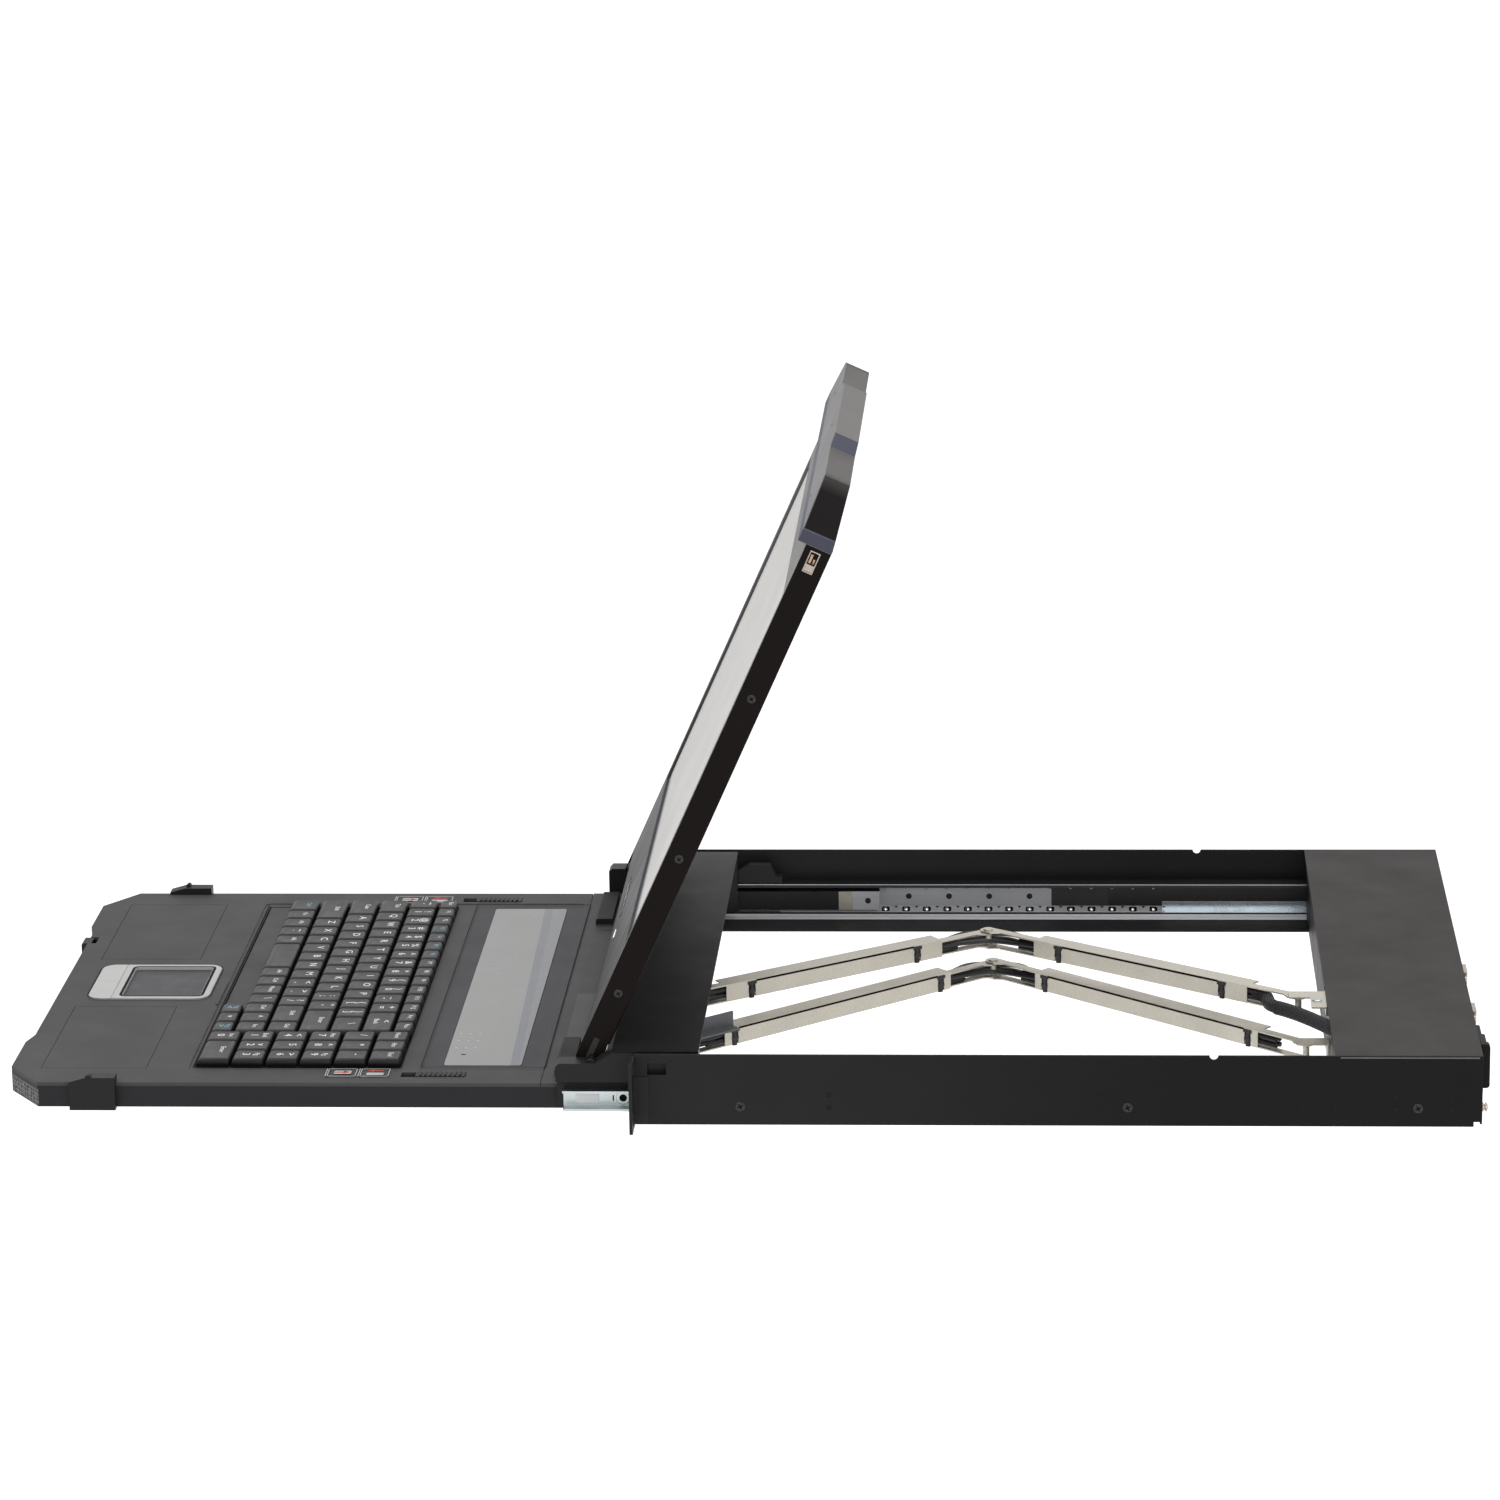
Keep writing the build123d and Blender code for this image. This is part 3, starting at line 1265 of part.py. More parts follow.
def pivot_tongue(s_end, s_body):
    """Plan of the narrow tongue from a channel to the pivot at its end, with its far corners cut off."""
    direction = 1 if s_body > s_end else -1
    tip = s_end - direction * tongue_width / 2
    half = tongue_width / 2
    with BuildSketch(mode=Mode.PRIVATE) as tongue:
        with BuildLine():
            Polyline((s_body + direction * tongue_lap, -half), (tip + direction * tongue_chamfer, -half),
                     (tip, tongue_chamfer - half), (tip, half - tongue_chamfer),
                     (tip + direction * tongue_chamfer, half), (s_end + direction * half, half),
                     (s_end + direction * tongue_width, link_inner_w),
                     (s_body + direction * tongue_lap, link_inner_w), close=True)
        make_face()
    return tongue.sketch


def cable_link(plane, length, inner_at_start, pin_at_end, tie_inset):
    """One channel of an arm, from the pivot at the plane's origin to the pivot at its end."""
    body_start, body_end = tongue_length, length - tongue_length
    flange_top = link_height - link_sheet
    lowered = link_sheet + tongue_gap
    start_shift = lowered if inner_at_start else 0
    with BuildPart(plane) as link:
        slab(body_start, body_end, link_outer_w, link_inner_w, flange_top, link_height)
        slab(body_start, body_end, link_outer_w, link_inner_w, 0, link_sheet)
        slab(body_start, body_end, link_inner_w - link_sheet, link_inner_w, 0, link_height)
        for tie_s in (body_start + tie_inset, body_end - tie_inset):
            slab(tie_s - tie_slot / 2, tie_s + tie_slot / 2, link_outer_w - overcut, link_inner_w + overcut,
                 -overcut, flange_top - tie_wrap, mode=Mode.SUBTRACT)
        for s_end, s_body, z0 in ((0, body_start, flange_top - start_shift), (0, body_start, start_shift),
                                  (length, body_end, flange_top), (length, body_end, 0)):
            with BuildSketch(plane.offset(z0)):
                add(pivot_tongue(s_end, s_body))
            extrude(amount=link_sheet)
        if inner_at_start:
            slab(body_start, body_start + tongue_lap, -tongue_width / 2, link_inner_w, flange_top - lowered,
                 link_height)
            slab(body_start, body_start + tongue_lap, -tongue_width / 2, link_inner_w, 0, link_sheet + lowered)
        with Locations((0, 0, link_height / 2), (length, 0, link_height / 2)):
            Cylinder(rivet_radius + rivet_play, link_height + 2 * overcut, mode=Mode.SUBTRACT)
        if pin_at_end:
            with Locations((length, 0, link_height / 2)):
                Cylinder(rivet_radius, link_height + rivet_head)
            with Locations((length, 0, link_height + rivet_head / 2), (length, 0, -rivet_head / 2)):
                Cylinder(rivet_radius + rivet_head_border, rivet_head)
    return link.part


def link_cables(plane, length, tie_inset):
    """The bundle of leads that lies against one channel's web, and the ties that hold it there."""
    lead_start, lead_end = tongue_length - lead_overhang, length - tongue_length + lead_overhang
    web_face = link_inner_w - link_sheet - leads_gap
    with BuildPart(plane) as leads:
        slab(lead_start, lead_end, web_face - leads_width, web_face, link_height / 2 - leads_width / 2,
             link_height / 2 + leads_width / 2)
        chamfer(leads.edges().filter_by(Axis((0, 0, 0), plane.x_dir)), leads_corner)
        for tie_s in (tongue_length + tie_inset, length - tongue_length - tie_inset):
            slab(tie_s - tie_width / 2, tie_s + tie_width / 2, web_face - leads_width - tie_wrap,
                 link_inner_w + tie_wrap, -tie_wrap, link_height - link_sheet - tie_wrap - tie_gap)
    return leads.part


class Arm:
    """Places of one arm's three pivots and the planes of its two channels."""

    def __init__(self, pivot_x, reach, front_y, rear_y, base_z):
        half = (rear_y - front_y) / 2
        self.length = math.hypot(reach, half)
        self.rest_angle = math.degrees(math.atan2(reach, half))
        self.folded_angle = math.degrees(math.acos((rear_y - front_y - drawer_travel) / 2 / self.length))
        self.elbow = (pivot_x - reach, front_y + half, base_z)
        self.front = (pivot_x, front_y, base_z)
        self.rear = (pivot_x, rear_y, base_z)
        self.rear_plane = Plane(origin=self.rear, x_dir=(-reach, -half, 0), z_dir=(0, 0, 1))
        self.front_plane = Plane(origin=self.elbow, x_dir=(reach, -half, 0), z_dir=(0, 0, 1))


upper_arm = Arm(upper_arm_x, upper_arm_reach, upper_arm_front, upper_arm_rear, upper_arm_z)
lower_arm = Arm(lower_arm_x, lower_arm_reach, lower_arm_front, lower_arm_rear, lower_arm_z)

for arm_name, arm, tie_inset in (("upper_arm", upper_arm, upper_tie_inset),
                                 ("lower_arm", lower_arm, lower_tie_inset)):
    save(cable_link(arm.rear_plane, arm.length, False, True, tie_inset), arm_name + "_rear_link")
    save(cable_link(arm.front_plane, arm.length, True, False, tie_inset), arm_name + "_front_link")
    save(link_cables(arm.rear_plane, arm.length, tie_inset), arm_name + "_rear_leads")
    save(link_cables(arm.front_plane, arm.length, tie_inset), arm_name + "_front_leads")
    print(arm_name, "length", round(arm.length, 3), "rest", round(arm.rest_angle, 3),
          "folded", round(arm.folded_angle, 3), "elbow", arm.elbow)

# Rear arm brackets: plates screwed to the rear box, each with a tab over a channel and a pin down through it
tab_half = 6.0
tab_stop = 1.5
leg_half = 9.0
leg_rise = 1.0
screw_plate_depth = 11.0
screw_plate_reach = 26.0

with BuildPart() as arm_rear_brackets:
    for arm in (upper_arm, lower_arm):
        pivot_x, pivot_y, base_z = arm.rear
        tab_z = base_z + link_height + bracket_gap
        slab(pivot_x - tab_half, pivot_x + tab_half, pivot_y - tab_half, rear_box_front - tab_stop,
             tab_z, tab_z + bracket_sheet)
        slab(pivot_x - leg_half, pivot_x + leg_half, rear_box_front - tab_stop, rear_box_front,
             base_z + leg_rise, tab_z + bracket_sheet)
        with Locations((pivot_x, pivot_y, (base_z + tab_z) / 2)):
            Cylinder(rivet_radius, tab_z - base_z)
    screw_plate_z = upper_arm_z + link_height + bracket_gap
    slab(upper_arm_x - tab_half, upper_arm_x + screw_plate_reach, rear_box_front - screw_plate_depth,
         rear_box_front - tab_stop, screw_plate_z, screw_plate_z + bracket_sheet)
save(arm_rear_brackets.part, "arm_rear_brackets")

# Front arm brackets: a pad and a hanger under the carriage cover, each over the end of a channel. The hanger
# reaches back with an upright edge between the two arms.
pad_half = 9.0
hanger_left = 7.0
hanger_right = 9.0
hanger_front = 8.0
hanger_rear = 14.0
hanger_sheet = 1.2
hanger_leg = 4.0
edge_start = 4.0
edge_length = 40.0
edge_width = 8.0
edge_height = 10.5

with BuildPart() as arm_front_brackets:
    pad_z = upper_arm_z + link_height + bracket_gap
    slab(upper_arm_x - pad_half, upper_arm_x + pad_half, upper_arm_front - pad_half, upper_arm_front + pad_half,
         pad_z, plate_z)
    hanger_z = lower_arm_z + link_height + bracket_gap
    slab(lower_arm_x - hanger_left, lower_arm_x + hanger_right, lower_arm_front - hanger_front,
         lower_arm_front + hanger_rear, hanger_z, hanger_z + hanger_sheet)
    slab(lower_arm_x + hanger_leg, lower_arm_x + hanger_right, lower_arm_front - hanger_front,
         lower_arm_front + hanger_rear, hanger_z, plate_z)
edge_plane = Plane(origin=(lower_arm_x, lower_arm_front, hanger_z), x_dir=lower_arm.front_plane.x_dir * -1,
                   z_dir=(0, 0, 1))
with BuildPart(edge_plane) as bracket_edge:
    slab(edge_start, edge_start + edge_length, -edge_width, 0, 0, hanger_sheet)
    slab(edge_start, edge_start + edge_length, -hanger_sheet, 0, 0, edge_height)
save(arm_front_brackets.part + bracket_edge.part, "arm_front_brackets")

# Console leads between the upper arm and the rear box: one sleeved bundle
bundle_radius = 4.4
bundle_level = 14.0
bundle_bend = 45.0
bundle_route = ((6.0, -13.5), (18.0, 2.0), (61.0, 25.8))
print("rear leads bend radius", bundle_bend)

with BuildPart() as rear_leads:
    with BuildLine() as lead_path:
        FilletPolyline(*[Vector(upper_arm_x + dx, upper_arm_rear + dy, bundle_level)
                         for dx, dy in bundle_route], radius=bundle_bend)
    with BuildSketch(Plane(origin=lead_path.line @ 0, z_dir=lead_path.line % 0)):
        Circle(bundle_radius)
    sweep(path=lead_path.line)
save(rear_leads.part, "rear_leads")
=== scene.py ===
import json
import math

import bmesh
import bpy
from mathutils import Matrix, Vector


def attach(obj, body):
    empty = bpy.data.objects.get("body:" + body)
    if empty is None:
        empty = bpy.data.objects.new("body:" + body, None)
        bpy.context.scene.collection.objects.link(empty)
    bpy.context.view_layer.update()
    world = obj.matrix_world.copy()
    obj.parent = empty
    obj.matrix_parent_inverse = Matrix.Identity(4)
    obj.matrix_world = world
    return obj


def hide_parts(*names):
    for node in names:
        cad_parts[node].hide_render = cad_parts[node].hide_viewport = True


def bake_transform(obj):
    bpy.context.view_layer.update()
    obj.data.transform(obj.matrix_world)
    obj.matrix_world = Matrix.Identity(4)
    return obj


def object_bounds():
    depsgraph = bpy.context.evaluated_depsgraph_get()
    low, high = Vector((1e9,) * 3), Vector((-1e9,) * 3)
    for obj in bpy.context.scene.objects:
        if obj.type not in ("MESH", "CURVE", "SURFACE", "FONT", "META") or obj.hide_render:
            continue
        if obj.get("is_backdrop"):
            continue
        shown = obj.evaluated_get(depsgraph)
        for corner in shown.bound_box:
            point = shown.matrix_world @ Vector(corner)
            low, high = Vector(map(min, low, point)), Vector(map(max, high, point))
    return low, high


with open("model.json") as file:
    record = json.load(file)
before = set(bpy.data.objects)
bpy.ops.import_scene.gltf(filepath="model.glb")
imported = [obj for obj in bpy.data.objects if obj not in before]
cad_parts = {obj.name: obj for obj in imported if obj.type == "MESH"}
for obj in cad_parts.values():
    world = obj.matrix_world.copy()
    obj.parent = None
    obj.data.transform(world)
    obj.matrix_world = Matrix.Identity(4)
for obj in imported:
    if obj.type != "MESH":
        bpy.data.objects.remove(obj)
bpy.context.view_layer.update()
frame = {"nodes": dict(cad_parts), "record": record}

nodes = frame["nodes"]
MM = 0.001
X, Y, Z = (1, 0, 0), (0, 1, 0), (0, 0, 1)
PLAIN = Matrix.Identity(4)
ALONG_Y = Matrix(((1, 0, 0, 0), (0, 0, 1, 0), (0, 1, 0, 0), (0, 0, 0, 1)))

# Places from the CAD source and the photo, in millimetres
HINGE_Y, HINGE_Z = -27.0, 13.0
HINGE = (0, HINGE_Y, HINGE_Z)
TILT = math.radians(180 - 114.4)
LID_ALONG = Vector((0, math.cos(TILT), math.sin(TILT)))
LID_NORMAL = Vector((0, -math.sin(TILT), math.cos(TILT)))
LID_FACE = 9.6
LID_SIDE_X = 200.0
LID_PLANE = Matrix((
    (1, 0, 0, 0),
    (0, LID_ALONG.y, LID_NORMAL.y, HINGE_Y),
    (0, LID_ALONG.z, LID_NORMAL.z, HINGE_Z),
    (0, 0, 0, 1),
))
GRIP_START, GRIP_STEP = 343.4, 351.5
DECK_TOP = -2.2
TOUCHPAD_TOP = -2.0
WELL_Z = -2.8
PANEL_Z = -3.3
PANEL_X, PANEL_FRONT = 172.0, -134.0
WALL_X = 220.0
CASE_REAR = 504.0

KEY_PITCH = 18.8
KEY_LEFT = -169.2
KEY_FRONT = -272.0
KEY_BASE, KEY_TOP = -3.6, 1.8
DISH_Z = 1.7
KEY_GAP = 0.8
ARROW_DEPTH = 14.2
ROW_DEPTH = 19.8
FUNCTION_DEPTH = 13.0
PAD_DEPTH = 20.9
PAD_COLUMN = 15

BALL_RADIUS = 1.6
BALL_X = 211.0
BALL_ROWS = (-17.45, -1.55)
BALL_START, BALL_PITCH, BALL_COUNT = 136.6, 13.8, 14
CAGE_FRONT, CAGE_REAR = 66.0, 322.0
CAGE_LOW, CAGE_HIGH = -16.6, -2.4
CAGE_HOLED_END, CAGE_GREY_END = 248.0, 286.0
CAGE_WEB_X = 216.3
CAGE_SHEET = 0.6
HOLE_START, HOLE_PITCH, HOLE_COUNT = BALL_START - 11.3, 27.0, 5
HOLE_RADIUS = 2.0
SLIDE_MIDDLE_Z = -9.5
INNER_FACE_X, INNER_WEB_X, INNER_OUTER_X = 205.6, 207.0, 214.4
OUTER_WEB_X, OUTER_LIP_X = 217.4, 206.2
OUTER_FLOOR_Z = -19.1
OUTER_FRONT, OUTER_REAR = 4.5, 491.5

TONGUE = 37.0
LEAD_RADIUS = 1.75
LEAD_PLACES = ((-4.7, 3.7), (-1.1, 3.7), (-4.7, 7.3), (-1.1, 7.3))

# Settings of the finishes
NO_WEAR_OR_HIGHLIGHT = (0.0, 1.0)
BRUSHED_X, BRUSHED_Y = (0.02, 1.0, 1.0), (1.0, 0.02, 1.0)
BLUE_GREY = (0.085, 0.09, 0.125)


def new_object(name, data):
    made = bpy.data.objects.new(name, data)
    bpy.context.scene.collection.objects.link(made)
    return made


class Tree:
    """Short names for building one material's nodes."""

    def __init__(self, name):
        self.material = bpy.data.materials.new(name)
        self.material.use_nodes = True
        self.nodes = self.material.node_tree.nodes
        self.links = self.material.node_tree.links
        self.nodes.clear()
        self.out = self.nodes.new("ShaderNodeOutputMaterial")
        self.shader = self.nodes.new("ShaderNodeBsdfPrincipled")
        self.links.new(self.shader.outputs[0], self.out.inputs[0])
        self.place = self.nodes.new("ShaderNodeTexCoord").outputs["Object"]

    def link(self, source, target):
        self.links.new(source, target)

    def feed(self, target, value):
        if hasattr(value, "links"):
            self.link(value, target)
        else:
            target.default_value = value

    def math(self, kind, a, b=0.0):
        node = self.nodes.new("ShaderNodeMath")
        node.operation = kind
        self.feed(node.inputs[0], a)
        self.feed(node.inputs[1], b)
        return node.outputs[0]

    def times(self, a, b):
        return self.math("MULTIPLY", a, b)

    def dot(self, a, b):
        node = self.nodes.new("ShaderNodeVectorMath")
        node.operation = "DOT_PRODUCT"
        self.feed(node.inputs[0], a)
        self.feed(node.inputs[1], b)
        return node.outputs["Value"]

    def along(self, direction, origin=(0, 0, 0)):
        """Distance in millimetres from a point, along a direction."""
        shift = self.nodes.new("ShaderNodeVectorMath")
        shift.operation = "SUBTRACT"
        self.link(self.place, shift.inputs[0])
        shift.inputs[1].default_value = [v * MM for v in origin]
        return self.dot(shift.outputs[0], [v / MM for v in direction])

    def side(self):
        """Distance in millimetres from the middle plane."""
        return self.math("ABSOLUTE", self.along(X))

    def remap(self, value, low, high, to_low=0.0, to_high=1.0, kind="LINEAR"):
        node = self.nodes.new("ShaderNodeMapRange")
        node.interpolation_type = kind
        self.feed(node.inputs["Value"], value)
        node.inputs["From Min"].default_value = low
        node.inputs["From Max"].default_value = high
        node.inputs["To Min"].default_value = to_low
        node.inputs["To Max"].default_value = to_high
        return node.outputs[0]

    def band(self, value, low, high, soft=0.1):
        """1 where a value lies between two limits, with soft edges."""
        rise = self.remap(value, low - soft, low + soft, 0.0, 1.0, "SMOOTHSTEP")
        fall = self.remap(value, high - soft, high + soft, 1.0, 0.0, "SMOOTHSTEP")
        return self.times(rise, fall)

    def noise(self, scale, detail=3.0, stretch=(1, 1, 1)):
        mapping = self.nodes.new("ShaderNodeMapping")
        mapping.inputs["Scale"].default_value = stretch
        self.link(self.place, mapping.inputs["Vector"])
        node = self.nodes.new("ShaderNodeTexNoise")
        node.inputs["Scale"].default_value = scale
        node.inputs["Detail"].default_value = detail
        node.inputs["Roughness"].default_value = 0.55
        self.link(mapping.outputs[0], node.inputs["Vector"])
        return node.outputs["Fac"]

    def dots(self, scale):
        node = self.nodes.new("ShaderNodeTexVoronoi")
        node.inputs["Scale"].default_value = scale
        node.inputs["Randomness"].default_value = 0.35
        self.link(self.place, node.inputs["Vector"])
        return node.outputs["Distance"]

    def mix(self, factor, a, b):
        node = self.nodes.new("ShaderNodeMix")
        node.data_type = "RGBA"
        self.feed(node.inputs[0], factor)
        for target, value in ((node.inputs[6], a), (node.inputs[7], b)):
            self.feed(target, value if hasattr(value, "links") else (*value[:3], 1))
        return node.outputs[2]

    def bump(self, height, strength, distance, normal):
        node = self.nodes.new("ShaderNodeBump")
        node.inputs["Strength"].default_value = strength
        node.inputs["Distance"].default_value = distance
        self.link(height, node.inputs["Height"])
        self.link(normal, node.inputs["Normal"])
        return node.outputs[0]

    def soft_edge(self, radius):
        node = self.nodes.new("ShaderNodeBevel")
        node.samples = 4
        node.inputs["Radius"].default_value = radius
        return node.outputs[0]

    def edge_mask(self, soft_normal):
        """1 along the edges, where the rounded normal leaves the flat one."""
        flat_normal = self.nodes.new("ShaderNodeNewGeometry").outputs["Normal"]
        return self.remap(self.dot(soft_normal, flat_normal), 0.995, 0.86)


def shade(colour, factor):
    return tuple(min(1.0, c * factor) for c in colour)


def surface(name, colour, rough=0.5, metal=0.0, specular=0.5, coat=0.0, blotch=(9.0, 0.18),
            grain=(900.0, 0.25, 0.00012), edge=0.0004, edge_wear_and_highlight=(0.25, 2.2), rough_range=0.12,
            stretch=(1, 1, 1), paint=None, relief=None):
    """A finish with blotches of tone, a fine grain, softened edges, and wear and painted highlights along
    them.
    """
    blotch_scale, blotch_depth = blotch
    grain_scale, grain_strength, grain_height = grain
    wear_and_highlight_amount, wear_and_highlight_tone = edge_wear_and_highlight
    t = Tree(name)
    s = t.shader.inputs
    s["Metallic"].default_value = metal
    s["Specular IOR Level"].default_value = specular
    s["Coat Weight"].default_value = coat
    s["Coat Roughness"].default_value = 0.12
    large = t.noise(blotch_scale, 4.0)
    fine = t.noise(grain_scale, 2.0, stretch)
    base = t.mix(t.remap(large, 0.3, 0.7), shade(colour, 1 - blotch_depth), shade(colour, 1 + blotch_depth))
    base = t.mix(t.remap(fine, 0.35, 0.65, 0, 0.35), base, shade(colour, 1.25))
    if paint:
        base = paint(t, base)
    normal = t.soft_edge(edge)
    # Edges are painted lighter: partly wear, partly painted highlight.
    if wear_and_highlight_amount:
        wear_and_highlight_patches = t.remap(t.noise(60.0, 4.0), 0.4, 0.7, wear_and_highlight_amount / 3, wear_and_highlight_amount)
        base = t.mix(t.times(t.edge_mask(normal), wear_and_highlight_patches), base, shade(colour, wear_and_highlight_tone))
    t.link(base, s["Base Color"])
    smears = t.noise(blotch_scale * 3.7)
    t.link(t.remap(smears, 0.25, 0.75, rough - rough_range / 2, rough + rough_range / 2), s["Roughness"])
    if relief:
        normal = relief(t, normal)
    t.link(t.bump(fine, grain_strength, grain_height, normal), s["Normal"])
    return t.material


def wall_painted_shade(t, base):
    """Painted shade: the walls are painted darker towards the rear."""
    return t.mix(t.remap(t.along(Y), 60.0, 330.0), base, (0.0085, 0.0075, 0.0078))


def cover_paint(t, base):
    """Painted sheen and shade: the carriage cover is painted lighter at its far side, falling off to darker
    at its near side across its width.
    """
    x = t.along(X)
    far = t.mix(t.remap(x, -210.0, 10.0, 1.0, 0.0), base, (0.062, 0.058, 0.058))
    return t.mix(t.remap(x, 0.0, 190.0), far, (0.0088, 0.0084, 0.0084))


def panel_paint(t, base):
    """Bands of tone across the control panel, slightly askew."""
    y = t.along((-0.0235, 1, 0))
    base = t.mix(t.band(y, -84.0, -78.5, 0.15), base, (0.185, 0.19, 0.22))
    return t.mix(t.band(y, -78.5, -60.0, 0.15), base, (0.225, 0.228, 0.245))


def key_flank_shade(t, base):
    """Painted shade: the caps' flanks are painted darker than their tops."""
    return t.mix(t.remap(t.along(Z), 0.7, 1.6, 1.0, 0.0), base, (0.011, 0.0105, 0.0105))


def screen_paint(t, base):
    """A blue grey border round the lit area of the screen."""
    across = t.band(t.along(X), -184.0, 184.0, 0.2)
    up = t.band(t.along(LID_ALONG, HINGE), 77.0, 301.0, 0.2)
    return t.mix(t.times(across, up), (0.10, 0.105, 0.15), base)


def lip_painted_reflection(t, base):
    """Painted reflection: a darker frame low down that lightens up the lid, and on the grip black corners
    shading into a grey end, lighter towards the middle; blue grey where it steps.
    """
    a = t.along(LID_ALONG, HINGE)
    n = t.along(LID_NORMAL, HINGE)
    side = t.side()
    base = t.mix(t.remap(a, 20.0, 300.0, 1.0, 0.0), base, (0.062, 0.061, 0.065))
    body = t.band(n, -20.0, LID_FACE + 5.0, 0.3)
    grey = t.mix(t.remap(side, 89.0, 75.0), (0.125, 0.117, 0.115), (0.20, 0.19, 0.185))
    dark = t.mix(t.remap(side, 178.0, 160.0), (0.0060, 0.0046, 0.0043), grey)
    dark = t.mix(t.band(side, 74.5, 89.5, 0.2), dark, BLUE_GREY)
    base = t.mix(t.times(t.band(a, GRIP_START, 420.0, 0.2), body), base, dark)
    step = t.times(t.band(a, GRIP_START, GRIP_STEP, 0.2), t.band(n, -20.0, LID_FACE + 6.0, 0.3))
    return t.mix(step, base, BLUE_GREY)


def deck_paint(t, base):
    """A darker field round the control panel, black hinge blocks and a lighter flat pad behind it."""
    y = t.along(Y)
    field = t.times(t.band(t.side(), -1.0, PANEL_X), t.band(y, PANEL_FRONT, -58.0))
    base = t.mix(field, base, (0.062, 0.062, 0.068))
    raised = t.band(t.along(Z), DECK_TOP + 0.3, 60.0, 0.05)
    block = t.times(t.times(t.band(t.side(), 124.5, 201.0), t.band(y, -52.0, -10.0)), raised)
    base = t.mix(block, base, (0.010, 0.010, 0.011))
    pad = t.times(t.band(t.along(X), 22.0, 121.0, 0.3), t.band(y, -50.5, -24.0, 0.3))
    return t.mix(t.times(pad, 0.6), base, (0.115, 0.115, 0.122))


def corner_mask(t):
    """1 on the slanted corner faces of the tray, below a strip that stays dark."""
    slant = t.math("ADD", t.times(t.side(), 0.5735), t.times(t.along(Y), -0.8192))
    low = t.band(t.along(Z), -60.0, -7.5, 0.3)
    return t.times(t.band(slant, 412.4, 480.0, 0.05), low)


def pits(t):
    return t.remap(t.dots(400.0), 0.3, 0.52)


def corner_paint(t, base):
    """A lighter grain on the tray's corner faces."""
    return t.mix(t.times(corner_mask(t), pits(t)), base, (0.19, 0.185, 0.185))


def corner_relief(t, normal):
    """Small pits on the tray's corner faces."""
    return t.bump(t.times(pits(t), corner_mask(t)), 0.9, 0.0009, normal)


def threads(t):
    """Crossing threads of a braided sleeve."""
    one_way = t.math("SINE", t.along((2.0, 2.0, 1.2)))
    return t.times(one_way, t.math("SINE", t.along((2.0, -1.0, -2.2))))


def braid_paint(t, base):
    return t.mix(t.remap(threads(t), 0.1, 0.8), base, (0.075, 0.077, 0.086))


def braid_relief(t, normal):
    return t.bump(threads(t), 0.9, 0.0008, normal)


